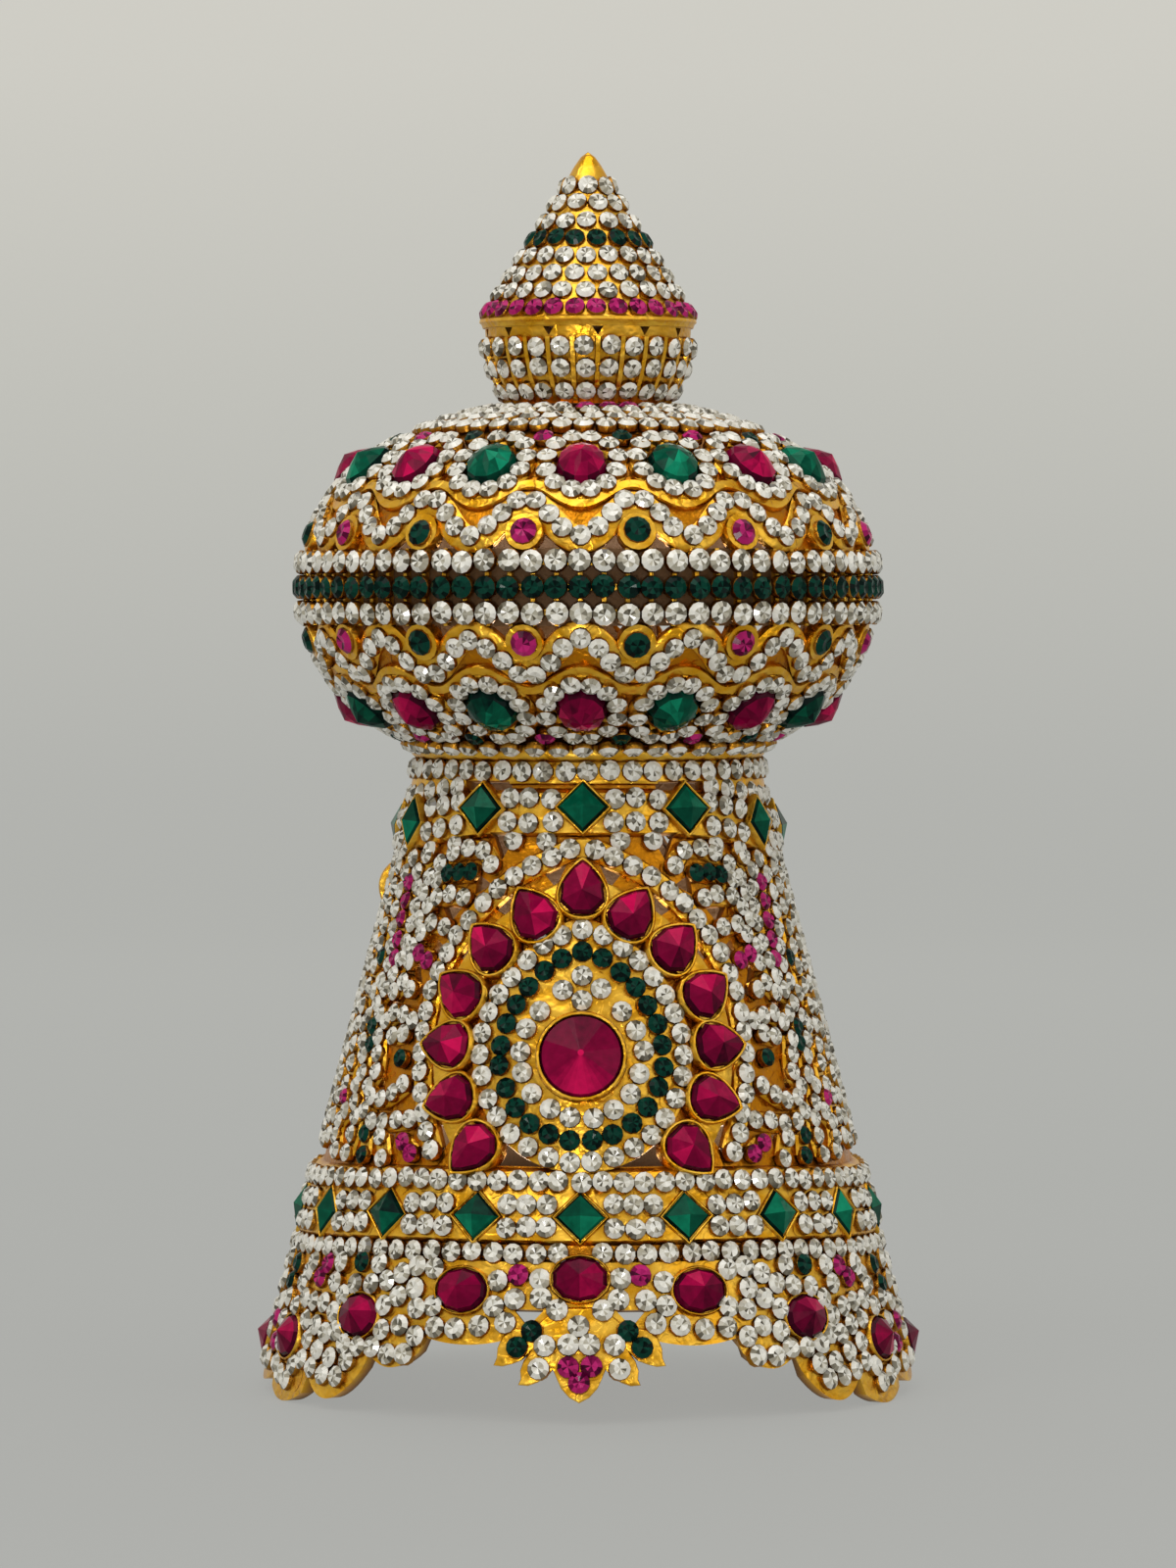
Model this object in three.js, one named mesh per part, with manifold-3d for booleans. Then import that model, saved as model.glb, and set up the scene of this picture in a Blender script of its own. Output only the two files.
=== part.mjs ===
import * as THREE from 'three';
import { mergeVertices } from 'three/addons/utils/BufferGeometryUtils.js';
import Module from 'manifold-3d';

// Deity crown: a flared and pierced skirt under a melon-shaped bulb and a pointed finial,
// cast in gold-plated metal and set with cut stones.
// Millimetres, +Z up. The front faces -Y and the origin is on the ground below the axis.
// Angles are in degrees from the front, positive towards +X.

const wasm = await Module();
wasm.setup();

// Overall sizes
const CROWN_HEIGHT = 190.5;
const RIM_RADIUS = 50.8;
const WALL = 2.2;
const GAP = 0.3;
const GAP_REACH = 3 * WALL;
const SKIRT_COLUMNS = 36;
const BULB_COLUMNS = 32;
const FINIAL_COLUMNS = 28;

// Skirt: a cone that turns steeper at the collar
const SKIRT_SLOPE = 0.2635;
const COLLAR_Z = 85;
const SKIRT_TOP_Z = 98.4;
const SKIRT_TOP_RADIUS = 26.1;

// Raised bands round the skirt; each sags towards the sides of the head
const BAND_RISE = 0.8;
const BAND_CHAMFER = 0.6;
const LOWER_BAND = { low: 24.8, high: 36.8, sag: 2 };
const COLLAR_BAND = { low: 86.2, high: 92.9, sag: 4 };

// Lobes of the scalloped rim over one quarter, from the front to the side.
// The lobe at 65 degrees is clipped by the ground, so the crown stands on four small flats.
const LOBES = [
  { angle: 0, half: 13, low: 11.9, rise: 1.0 },
  { angle: 21.5, half: 8.5, low: 11.2, rise: 1.0 },
  { angle: 36, half: 6, low: 7.2, rise: 2.5 },
  { angle: 50, half: 8, low: 2.0, rise: 2.5 },
  { angle: 65, half: 7, low: -0.4, rise: 2.9 },
  { angle: 81, half: 9, low: 1.7, rise: 2.5 },
];
const LOBE_STEPS = 4;
const LOBE_OVERLAP = 0.2;
const LOBE_CUT = { low: -6, inside: 35.8, outside: 60.8 };

// Lotus drop under the front of the rim: right half of its outline, from the tip to the wall
const DROP_THICKNESS = 2.2;
const DROP_PROUD = 0.4;
const DROP_OUTLINE = [
  { across: 0, z: 3.2 },
  { across: 2.6, z: 5.0 },
  { across: 3.9, z: 8.0 },
  { across: 6.0, z: 6.2 },
  { across: 9.1, z: 5.7 },
  { across: 8.8, z: 7.2 },
  { across: 7.6, z: 10.2 },
  { across: 10.0, z: 8.8 },
  { across: 12.9, z: 8.4 },
  { across: 12.0, z: 11.0 },
  { across: 10.4, z: 14.2 },
];

// Medallion at the front: a pointed ring round the middle stone, pear stones in an arch, and a rib
const MEDALLION_Z = 53.2;
const MEDALLION_RING = { inner: 10.4, outer: 16.5, point: 1.22, rise: 0.7, steps: 20 };
const MIDDLE_STONE = { width: 12, height: 12, depth: 3.4, table: 0.12, sides: 12 };
const PEAR_STONE = { width: 6.6, height: 8.4, depth: 2.2, table: 0.3, sides: 10 };
const PEAR_WAIST = 0.77;
const PEAR_REACH = { far: 25.5, near: 21.0, fade: 22 };
const PEARS = [
  { polar: 0, turn: 0 },
  { polar: 18.4, turn: 34 },
  { polar: 39.6, turn: 46 },
  { polar: 62.5, turn: 55 },
  { polar: 84.6, turn: 90 },
  { polar: 106.5, turn: 107 },
  { polar: 129, turn: 140 },
];
const ARCH_RIB = { width: 3.4, rise: 0.6, steps: 18 };
const ARCH = [
  { across: 24.3, up: -15.2 },
  { across: 25.9, up: -6.0 },
  { across: 25.6, up: 5.0 },
  { across: 22.9, up: 13.3 },
  { across: 17.3, up: 20.7 },
  { across: 10.1, up: 26.6 },
  { across: 0, up: 31.0 },
];

// Other cut stones
const RIM_STONES = { count: 16, front: 21.0, drop: 13.6 };
const RIM_STONE = { width: 8.1, height: 6.4, depth: 2.2, table: 0.3, sides: 10 };
const COLLAR_STONES = { count: 11, front: 90.2 };
const BAND_STONES = { count: 17, front: 29.9 };
const SQUARE_STONE = { width: 7.0, height: 7.0, depth: 1.9, table: 0.3, sides: 8 };
const OVAL_STONE = { width: 7.5, height: 8.6, depth: 3.2, table: 0.3, sides: 8 };
const COLLET_RIM = 0.8;
const COLLET_RISE = 1.1;

// Bulb: a superellipse of revolution, split by the equator band
const EQUATOR_Z = 123.4;
const BULB_RADIUS = 43.9;
const BULB_HALF_HEIGHT = 28.4;
const BULB_POWER = 2.25;
const BULB_FOOT_Z = 98.7;
const BULB_MOUTH_RADIUS = 10.3;
const BULB_ROWS = 7;
const BULB_SECTORS = 16;
const OVAL_FROM_EQUATOR = 18.3;
const OVAL_SINK = 1.0;
const EDGE_GAP = { near: 3.0, peak: 5.0, far: 9.1, height: 2.9, past: 0.5 };
const EQUATOR_HALF = 5.4;
const EQUATOR_ROW = 3.75;
const EQUATOR_CREST = 0.6;
const EQUATOR_VALLEY = 0.7;

// Finial: a cup below and a cone above
const CUP_LOW_Z = 151.5;
const CUP_HIGH_Z = 162.0;
const CUP_OUTER = [
  { r: 12.3, up: 0 },
  { r: 14.4, up: 3.7 },
  { r: 15.7, up: 7.5 },
  { r: 15.9, up: 10.5 },
];
const CONE_BASE_RADIUS = 16.5;
const CONE_SLOPE = 0.63;
const CONE_RIM = 2.4;
const CONE_TIP = { radius: 0.5, drop: 0.7 };

// Pierced gaps of the skirt, given on one side and mirrored; those marked back repeat behind.
const GAPS = [
  { shape: 'slot', angle: 33, z: 93.5, width: 8.0, height: 1.3, turn: 0, back: true },
  { shape: 'triangle', angle: 25.6, z: 84.4, width: 4.0, height: 4.0, turn: 180, back: true },
  { shape: 'triangle', angle: 32, z: 78.4, width: 3.4, height: 2.8, turn: 150, back: false },
  { shape: 'triangle', angle: 41, z: 74.0, width: 4.2, height: 2.8, turn: 180, back: false },
  { shape: 'triangle', angle: 44, z: 69.4, width: 3.4, height: 2.4, turn: 20, back: false },
  { shape: 'slot', angle: 49, z: 64.2, width: 1.4, height: 5.0, turn: 25, back: false },
  { shape: 'triangle', angle: 58, z: 60.8, width: 3.8, height: 2.4, turn: 0, back: false },
  { shape: 'slot', angle: 55.3, z: 50.0, width: 1.6, height: 4.6, turn: 0, back: false },
  { shape: 'slot', angle: 76, z: 55.0, width: 1.6, height: 4.6, turn: 0, back: false },
  { shape: 'slot', angle: 47.2, z: 39.3, width: 1.6, height: 4.0, turn: 0, back: true },
  { shape: 'slot', angle: 54.6, z: 39.3, width: 1.6, height: 4.0, turn: 0, back: true },
  { shape: 'triangle', angle: 8.6, z: 15.6, width: 3.2, height: 1.9, turn: 180, back: false },
];
const FOOT_GAP = [
  { across: 9.0, up: -13.4 },
  { across: 10.9, up: -12.2 },
  { across: 12.2, up: -13.4 },
  { across: 13.2, up: -16.0 },
  { across: 5.1, up: -16.0 },
];
const PEAR_GAP = { reach: 1.15, width: 4.4, height: 3.6 };

const GOLD = { color: 0xd8a021, metalness: 1.0, roughness: 0.28 };
const RUBY = { color: 0xa80f45, metalness: 0.1, roughness: 0.08 };
const EMERALD = { color: 0x0a5a3f, metalness: 0.1, roughness: 0.08 };

const degrees = THREE.MathUtils.degToRad;
const lerp = THREE.MathUtils.lerp;

const crown = new THREE.Group();

// Radius of the skirt's outer face at a height
function skirtRadius(z) {
  const atCollar = RIM_RADIUS - SKIRT_SLOPE * COLLAR_Z;
  if (z < COLLAR_Z) return RIM_RADIUS - SKIRT_SLOPE * z;
  return lerp(atCollar, SKIRT_TOP_RADIUS, (z - COLLAR_Z) / (SKIRT_TOP_Z - COLLAR_Z));
}

// Radius of the bulb's outer face at a height
function bulbRadius(z) {
  const part = Math.min(1, Math.abs(z - EQUATOR_Z) / BULB_HALF_HEIGHT);
  return BULB_RADIUS * (1 - part ** BULB_POWER) ** (1 / BULB_POWER);
}

// How far a band has sagged at an angle
function sagAt(sag, angle) {
  return sag * Math.sin(degrees(angle)) ** 4;
}

// Height of a rim stone, which follows the arch of the rim
function rimStoneZ(angle) {
  return RIM_STONES.front - RIM_STONES.drop * Math.sin(degrees(angle)) ** 2;
}

// Point at an angle, a radius and a height
function around(angle, radius, z) {
  const turn = degrees(angle);
  return new THREE.Vector3(radius * Math.sin(turn), -radius * Math.cos(turn), z);
}

// Moves every vertex of a geometry through a function of its position
function warp(geometry, place) {
  const position = geometry.getAttribute('position');
  const point = new THREE.Vector3();
  for (let i = 0; i < position.count; i += 1) {
    point.fromBufferAttribute(position, i);
    const moved = place(point);
    position.setXYZ(i, moved.x, moved.y, moved.z);
  }
  return geometry;
}

// Closed solid of a geometry whose shared vertices are merged
function toSolid(geometry) {
  const bare = geometry.clone();
  bare.deleteAttribute('normal');
  bare.deleteAttribute('uv');
  const merged = mergeVertices(bare, 1e-4);
  const index = merged.getIndex().array;
  const triangles = [];
  for (let i = 0; i < index.length; i += 3) {
    const [a, b, c] = [index[i], index[i + 1], index[i + 2]];
    if (a !== b && b !== c && c !== a) triangles.push(a, b, c);
  }
  return new wasm.Manifold(new wasm.Mesh({
    numProp: 3,
    vertProperties: Float32Array.from(merged.getAttribute('position').array),
    triVerts: Uint32Array.from(triangles),
  }));
}

// Geometry of a solid
function toGeometry(solid) {
  const mesh = solid.getMesh();
  const geometry = new THREE.BufferGeometry();
  geometry.setAttribute('position', new THREE.BufferAttribute(mesh.vertProperties, 3));
  geometry.setIndex(new THREE.BufferAttribute(mesh.triVerts, 1));
  geometry.computeVertexNormals();
  return geometry;
}

// Name of one of a set of like pieces
function numbered(name, number) {
  return `${name}_${String(number).padStart(2, '0')}`;
}

// Adds a named piece to the crown
function addPiece(name, geometry, look, frame = new THREE.Matrix4()) {
  const mesh = new THREE.Mesh(geometry, new THREE.MeshStandardMaterial(look));
  mesh.name = name;
  mesh.applyMatrix4(frame);
  crown.add(mesh);
}

// Wall of revolution from a profile of radius and height, outer face upwards first
function revolve(profile, columns) {
  const points = profile.map(({ r, z }) => new THREE.Vector2(r, z));
  return new THREE.LatheGeometry(points, columns).rotateX(Math.PI / 2);
}

// Local frame on a surface of revolution: X to the right, Y up the surface, Z outwards
function surfaceFrame(radiusAt, angle, z, turn = 0, lift = 0) {
  const step = 0.05;
  const slope = (radiusAt(z + step) - radiusAt(z - step)) / (2 * step);
  const right = around(angle + 90, 1, 0);
  const up = around(angle, slope, 1).normalize();
  const out = new THREE.Vector3().crossVectors(right, up);
  const origin = around(angle, radiusAt(z), z).addScaledVector(out, lift);
  return new THREE.Matrix4()
    .makeBasis(right, up, out)
    .setPosition(origin)
    .multiply(new THREE.Matrix4().makeRotationZ(-degrees(turn)));
}

// Frame on the skirt at an arc distance and a rise from the middle of the medallion
function medallionFrame(across, up, turn = 0, lift = 0) {
  const z = MEDALLION_Z + up;
  const angle = THREE.MathUtils.radToDeg(across / skirtRadius(z));
  return surfaceFrame(skirtRadius, angle, z, turn, lift);
}

// Prism of a flat outline between two heights
function prism(outline, low, high) {
  const shape = new THREE.Shape(outline.map(({ x, y }) => new THREE.Vector2(x, y)));
  const settings = { depth: high - low, bevelEnabled: false, steps: 1 };
  return new THREE.ExtrudeGeometry(shape, settings).translate(0, 0, low);
}

// Outlines of stones and their seats, widened by a margin
const OUTLINES = {
  oval: (stone, t, margin) => ({
    x: (stone.width / 2 + margin) * Math.sin(t),
    y: (stone.height / 2 + margin) * Math.cos(t),
  }),
  square: (stone, t, margin) => {
    const reach = (stone.width / 2 + margin * Math.SQRT2) / (Math.abs(Math.sin(t)) + Math.abs(Math.cos(t)));
    return { x: reach * Math.sin(t), y: reach * Math.cos(t) };
  },
  pear: (stone, t, margin) => ({
    x: (stone.width / 2 + margin) * Math.sin(t) * Math.abs(Math.sin(t / 2)) / PEAR_WAIST,
    y: (stone.height / 2 + margin * 1.2) * Math.cos(t),
  }),
};

// Points round an outline, counter-clockwise
function outlinePoints(kind, stone, margin) {
  const points = [];
  for (let i = 0; i < stone.sides; i += 1) {
    points.push(OUTLINES[kind](stone, -2 * Math.PI * i / stone.sides, margin));
  }
  return points;
}

// Cut stone: a flat base, a ring of sloping facets and a flat table
function cutStone(kind, stone) {
  const profile = [
    { r: 0, z: 0 },
    { r: 1, z: 0 },
    { r: stone.table, z: stone.depth },
    { r: 0, z: stone.depth },
  ];
  return warp(revolve(profile, stone.sides), (point) => {
    const reach = Math.hypot(point.x, point.y);
    const edge = OUTLINES[kind](stone, Math.atan2(point.x, point.y), 0);
    return new THREE.Vector3(edge.x * reach, edge.y * reach, point.z);
  });
}

// Every stone that is a piece of its own: its cut, its frame on the skirt and the bed that it lies on
function looseStones() {
  const stones = [];
  const add = (name, kind, stone, look, bed, frame) => {
    stones.push({ name, kind, stone, look, bed, frame });
  };
  add('medallion_ruby', 'oval', MIDDLE_STONE, RUBY, COLLET_RISE, medallionFrame(0, 0));
  let pear = 0;
  for (const { polar, turn } of PEARS) {
    for (const side of polar === 0 ? [1] : [-1, 1]) {
      pear += 1;
      const reach = pearReach(polar);
      const across = side * reach * Math.sin(degrees(polar));
      const frame = medallionFrame(across, reach * Math.cos(degrees(polar)), side * turn);
      add(numbered('pear_ruby', pear), 'pear', PEAR_STONE, RUBY, COLLET_RISE, frame);
    }
  }
  for (let i = 0; i < RIM_STONES.count; i += 1) {
    const angle = 360 * i / RIM_STONES.count;
    const frame = surfaceFrame(skirtRadius, angle, rimStoneZ(angle));
    add(numbered('rim_ruby', i + 1), 'oval', RIM_STONE, RUBY, 0, frame);
  }
  for (let i = 0; i < COLLAR_STONES.count; i += 1) {
    const angle = 360 * i / COLLAR_STONES.count;
    const z = COLLAR_STONES.front - sagAt(COLLAR_BAND.sag, angle);
    const frame = surfaceFrame(skirtRadius, angle, z);
    add(numbered('collar_emerald', i + 1), 'square', SQUARE_STONE, EMERALD, BAND_RISE, frame);
  }
  return stones;
}

// Distance of a pear stone from the middle of the medallion
function pearReach(polar) {
  return PEAR_REACH.near + (PEAR_REACH.far - PEAR_REACH.near) * Math.exp(-polar / PEAR_REACH.fade);
}

// Raised band at a height, if there is one
function bandAt(z) {
  const slack = 0.01;
  return [LOWER_BAND, COLLAR_BAND].find(({ low, high }) => z > low - slack && z < high + slack);
}

// Wall of the skirt with its raised bands, before it is pierced
function skirtShell() {
  const outer = [{ lift: 0, z: 0 }];
  for (const { low, high } of [LOWER_BAND, COLLAR_BAND]) {
    outer.push({ lift: 0, z: low });
    outer.push({ lift: BAND_RISE, z: low + BAND_CHAMFER });
    outer.push({ lift: BAND_RISE, z: high - BAND_CHAMFER });
    outer.push({ lift: 0, z: high });
  }
  outer.push({ lift: 0, z: SKIRT_TOP_Z });
  const inner = [SKIRT_TOP_Z, COLLAR_Z, 0].map((z) => ({ lift: -WALL, z }));
  const profile = [...outer, ...inner, outer[0]].map(({ lift, z }) => ({ r: skirtRadius(z) + lift, z }));
  return warp(revolve(profile, SKIRT_COLUMNS), (point) => {
    const lift = Math.hypot(point.x, point.y) - skirtRadius(point.z);
    const angle = THREE.MathUtils.radToDeg(Math.atan2(point.x, -point.y));
    const band = bandAt(point.z);
    const z = point.z - (band && lift > -WALL / 2 ? sagAt(band.sag, angle) : 0);
    return around(angle, skirtRadius(z) + lift, z);
  });
}

// Solid below one lobe of the rim, to be cut away
function belowLobe({ half, low, rise }, angle) {
  const reach = half + LOBE_OVERLAP;
  const outline = [{ x: -reach, y: LOBE_CUT.low }, { x: reach, y: LOBE_CUT.low }];
  for (let i = 0; i <= LOBE_STEPS; i += 1) {
    const part = 1 - 2 * i / LOBE_STEPS;
    outline.push({ x: part * reach, y: low + rise * part * part });
  }
  const cut = prism(outline, LOBE_CUT.inside, LOBE_CUT.outside);
  return warp(cut, (point) => around(angle + point.x, point.z, point.y));
}

// Angles at which a quarter's feature stands round the whole crown
function mirrored(angle, back = true) {
  const front = angle === 0 ? [0] : [angle, -angle];
  return back ? [...front, ...front.map((a) => 180 - a)] : front;
}

// Plate bent to the skirt, from an outline of arc distance and height
function bentPlate(outline, low, high, holes = []) {
  const shape = new THREE.Shape(outline.map(({ x, y }) => new THREE.Vector2(x, y)));
  for (const hole of holes) {
    shape.holes.push(new THREE.Path(hole.map(({ x, y }) => new THREE.Vector2(x, y))));
  }
  const plate = new THREE.ExtrudeGeometry(shape, { depth: high - low, bevelEnabled: false, steps: 1 });
  return warp(plate, (point) => {
    const radius = skirtRadius(point.y);
    return around(THREE.MathUtils.radToDeg(point.x / radius), radius + low + point.z, point.y);
  });
}

// Lotus drop hanging from the front of the rim
function lotusDrop() {
  const right = DROP_OUTLINE.map(({ across, z }) => ({ x: across, y: z }));
  const left = right.slice(1).reverse().map(({ x, y }) => ({ x: -x, y }));
  return bentPlate([...right, ...left], DROP_PROUD - DROP_THICKNESS, DROP_PROUD);
}

// Pointed ring of the medallion, as points round a circle drawn up to a point at the top
function ringOutline(radius) {
  const { point, steps } = MEDALLION_RING;
  const points = [];
  for (let i = 0; i < steps; i += 1) {
    const t = 2 * Math.PI * i / steps;
    const drawn = 1 + (point - 1) * Math.max(0, Math.cos(t)) ** 6;
    points.push({ x: -radius * Math.sin(t), y: MEDALLION_Z + radius * drawn * Math.cos(t) });
  }
  return points;
}

// Rib along the arch round the pear stones
function archRib() {
  const left = ARCH.slice(0, -1).reverse().map(({ across, up }) => ({ across: -across, up }));
  const whole = [...ARCH, ...left];
  const nodes = whole.map(({ across, up }) => new THREE.Vector2(across, MEDALLION_Z + up));
  const path = new THREE.SplineCurve(nodes).getSpacedPoints(ARCH_RIB.steps);
  const side = (shift) => path.map((point, i) => {
    const along = path[Math.min(i + 1, path.length - 1)].clone().sub(path[Math.max(i - 1, 0)]).normalize();
    return { x: point.x - along.y * shift, y: point.y + along.x * shift };
  });
  const half = ARCH_RIB.width / 2;
  return bentPlate([...side(-half), ...side(half).reverse()], -WALL / 2, ARCH_RIB.rise);
}

// Cutter of one pierced gap, through the wall where its frame stands
function gapCutter({ shape, width, height }, frame) {
  const [x, y] = [width / 2, height / 2];
  const outlines = {
    slot: [{ x: -x, y: -y }, { x, y: -y }, { x, y }, { x: -x, y }],
    triangle: [{ x: -x, y: -y }, { x, y: -y }, { x: 0, y }],
  };
  return prism(outlines[shape], -GAP_REACH, GAP_REACH).applyMatrix4(frame);
}

// Every gap cut through the skirt
function skirtGaps() {
  const cutters = [];
  for (const gap of GAPS) {
    for (const angle of mirrored(gap.angle, gap.back)) {
      const turn = Math.sin(degrees(angle)) > 0 ? gap.turn : -gap.turn;
      cutters.push(gapCutter(gap, surfaceFrame(skirtRadius, angle, gap.z, turn)));
    }
  }
  for (let i = 0; i + 1 < PEARS.length; i += 1) {
    const polar = (PEARS[i].polar + PEARS[i + 1].polar) / 2;
    const reach = pearReach(polar) * PEAR_GAP.reach;
    for (const side of [-1, 1]) {
      const across = side * reach * Math.sin(degrees(polar));
      const frame = medallionFrame(across, reach * Math.cos(degrees(polar)), side * (polar + 180));
      cutters.push(gapCutter({ shape: 'triangle', ...PEAR_GAP }, frame));
    }
  }
  for (const side of [-1, 1]) {
    const outline = FOOT_GAP.map(({ across, up }) => ({ x: side * across, y: MEDALLION_Z + up }));
    cutters.push(bentPlate(side > 0 ? outline.reverse() : outline, -GAP_REACH, GAP_REACH));
  }
  return cutters;
}

// Skirt: wall, drop, medallion, collets and fused band stones, with the rim and the gaps cut
function buildSkirt(stones) {
  let wall = toSolid(skirtShell());
  const lobeCuts = LOBES.flatMap((lobe) => mirrored(lobe.angle).map((angle) => belowLobe(lobe, angle)));
  for (const cut of lobeCuts) wall = wall.subtract(toSolid(cut));
  const { inner, outer, rise } = MEDALLION_RING;
  const ring = bentPlate(ringOutline(outer), -WALL / 2, rise, [ringOutline(inner).reverse()]);
  const raised = [lotusDrop(), ring, archRib()];
  for (let i = 0; i < BAND_STONES.count; i += 1) {
    const angle = 360 * i / BAND_STONES.count;
    const z = BAND_STONES.front - sagAt(LOWER_BAND.sag, angle);
    raised.push(cutStone('square', SQUARE_STONE).applyMatrix4(surfaceFrame(skirtRadius, angle, z)));
  }
  for (const { kind, stone, frame, bed } of stones) {
    if (bed < COLLET_RISE) continue;
    const pad = outlinePoints(kind, stone, COLLET_RIM);
    raised.push(prism(pad, -WALL / 2, COLLET_RISE).applyMatrix4(frame));
  }
  for (const part of raised) wall = wall.add(toSolid(part));
  for (const gap of skirtGaps()) wall = wall.subtract(toSolid(gap));
  return toGeometry(wall);
}

// Half of the bulb above or below the equator band, with its fused oval stones and edge gaps
function buildBulbHalf(side) {
  const mouth = side > 0 ? BULB_MOUTH_RADIUS : bulbRadius(BULB_FOOT_Z);
  const edge = EQUATOR_HALF + GAP;
  const arc = (radius, halfHeight) => {
    const heightAt = (r) => halfHeight * (1 - (r / radius) ** BULB_POWER) ** (1 / BULB_POWER);
    const first = Math.asin(Math.min(1, (edge / halfHeight) ** (BULB_POWER / 2)));
    const last = Math.asin(Math.min(1, (heightAt(mouth) / halfHeight) ** (BULB_POWER / 2)));
    return Array.from({ length: BULB_ROWS }, (_, i) => {
      const t = lerp(first, last, i / (BULB_ROWS - 1));
      const [across, up] = [Math.cos(t), Math.sin(t)].map((part) => part ** (2 / BULB_POWER));
      return { r: radius * across, up: halfHeight * up };
    });
  };
  const outer = arc(BULB_RADIUS, BULB_HALF_HEIGHT);
  const inner = arc(BULB_RADIUS - WALL, BULB_HALF_HEIGHT - WALL).reverse();
  const loop = [...outer, ...inner].map(({ r, up }) => ({ r, z: EQUATOR_Z + side * up }));
  if (side < 0) loop.reverse();
  let half = toSolid(revolve([...loop, loop[0]], BULB_COLUMNS));
  const edgeZ = EQUATOR_Z + side * edge;
  for (let i = 0; i < BULB_SECTORS; i += 1) {
    const angle = 360 * i / BULB_SECTORS;
    const z = EQUATOR_Z + side * OVAL_FROM_EQUATOR;
    const frame = surfaceFrame(bulbRadius, angle, z, 0, -OVAL_SINK);
    half = half.add(toSolid(cutStone('oval', OVAL_STONE).applyMatrix4(frame)));
    for (const hand of [-1, 1]) {
      const accent = angle + 180 / BULB_SECTORS;
      const outline = [
        { x: EDGE_GAP.far, y: -EDGE_GAP.past },
        { x: EDGE_GAP.peak, y: EDGE_GAP.height },
        { x: EDGE_GAP.near, y: -EDGE_GAP.past },
      ].map(({ x, y }) => ({ x: hand * x, y: side * y }));
      if (hand * side < 0) outline.reverse();
      const cut = prism(outline, BULB_RADIUS - GAP_REACH, BULB_RADIUS + GAP_REACH);
      const bent = warp(cut, (point) => around(accent + point.x, point.z, edgeZ + point.y));
      half = half.subtract(toSolid(bent));
    }
  }
  return toGeometry(half);
}

// Equator band: three rounded ridges, one for each row of stones
function buildEquatorBand() {
  const inside = BULB_RADIUS - WALL;
  const ridge = [];
  for (const row of [-1, 0, 1]) {
    ridge.push({ r: BULB_RADIUS + EQUATOR_CREST, z: EQUATOR_Z + row * EQUATOR_ROW });
    if (row < 1) ridge.push({ r: BULB_RADIUS - EQUATOR_VALLEY, z: EQUATOR_Z + (row + 0.5) * EQUATOR_ROW });
  }
  const profile = [
    { r: BULB_RADIUS - EQUATOR_VALLEY, z: EQUATOR_Z - EQUATOR_HALF },
    ...ridge,
    { r: BULB_RADIUS - EQUATOR_VALLEY, z: EQUATOR_Z + EQUATOR_HALF },
    { r: inside, z: EQUATOR_Z + EQUATOR_HALF },
    { r: inside, z: EQUATOR_Z - EQUATOR_HALF },
  ];
  return revolve([...profile, profile[0]], BULB_COLUMNS);
}

// Finial cup: an open bowl that stands on the mouth of the bulb
function buildFinialCup() {
  const outer = CUP_OUTER.map(({ r, up }) => ({ r, z: CUP_LOW_Z + up }));
  const inner = outer.map(({ r, z }) => ({ r: r - WALL, z })).reverse();
  return revolve([...outer, ...inner, outer[0]], FINIAL_COLUMNS);
}

// Finial cone: hollow, open below, with a plain rounded rim and a blunt tip
function buildFinialCone() {
  const base = CUP_HIGH_Z + GAP;
  const shoulder = base + CONE_RIM + GAP;
  const coneRadius = (z) => CONE_SLOPE * (CROWN_HEIGHT - z);
  const profile = [
    { r: 0, z: CROWN_HEIGHT - 3 * WALL },
    { r: coneRadius(shoulder) - WALL, z: shoulder },
    { r: CONE_BASE_RADIUS - WALL, z: base },
    { r: CONE_BASE_RADIUS - GAP, z: base },
    { r: CONE_BASE_RADIUS, z: base + CONE_RIM / 2 },
    { r: CONE_BASE_RADIUS - GAP, z: base + CONE_RIM },
    { r: coneRadius(shoulder), z: shoulder },
    { r: CONE_TIP.radius, z: CROWN_HEIGHT - CONE_TIP.drop },
    { r: 0, z: CROWN_HEIGHT },
  ];
  return revolve(profile, FINIAL_COLUMNS);
}

const stones = looseStones();
addPiece('skirt_wall', buildSkirt(stones), GOLD);
addPiece('bulb_lower', buildBulbHalf(-1), GOLD);
addPiece('equator_band', buildEquatorBand(), GOLD);
addPiece('bulb_upper', buildBulbHalf(1), GOLD);
addPiece('finial_cup', buildFinialCup(), GOLD);
addPiece('finial_cone', buildFinialCone(), GOLD);
for (const { name, kind, stone, look, bed, frame } of stones) {
  const lift = new THREE.Matrix4().makeTranslation(0, 0, bed + GAP);
  addPiece(name, cutStone(kind, stone), look, frame.clone().multiply(lift));
}

export default crown;
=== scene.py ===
"""Looks of the deity crown: pierced gold walls and ribs, and every cut stone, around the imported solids.

Sizes are in millimetres until meshes are joined, and angles in degrees from the front.
"""

import logging
import math
from abc import ABC, abstractmethod
from dataclasses import dataclass, field, replace
from enum import Enum
from functools import cache
from typing import Callable, Iterable, Sequence

import bmesh
import bpy
import numpy as np
from mathutils import Matrix, Vector


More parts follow.
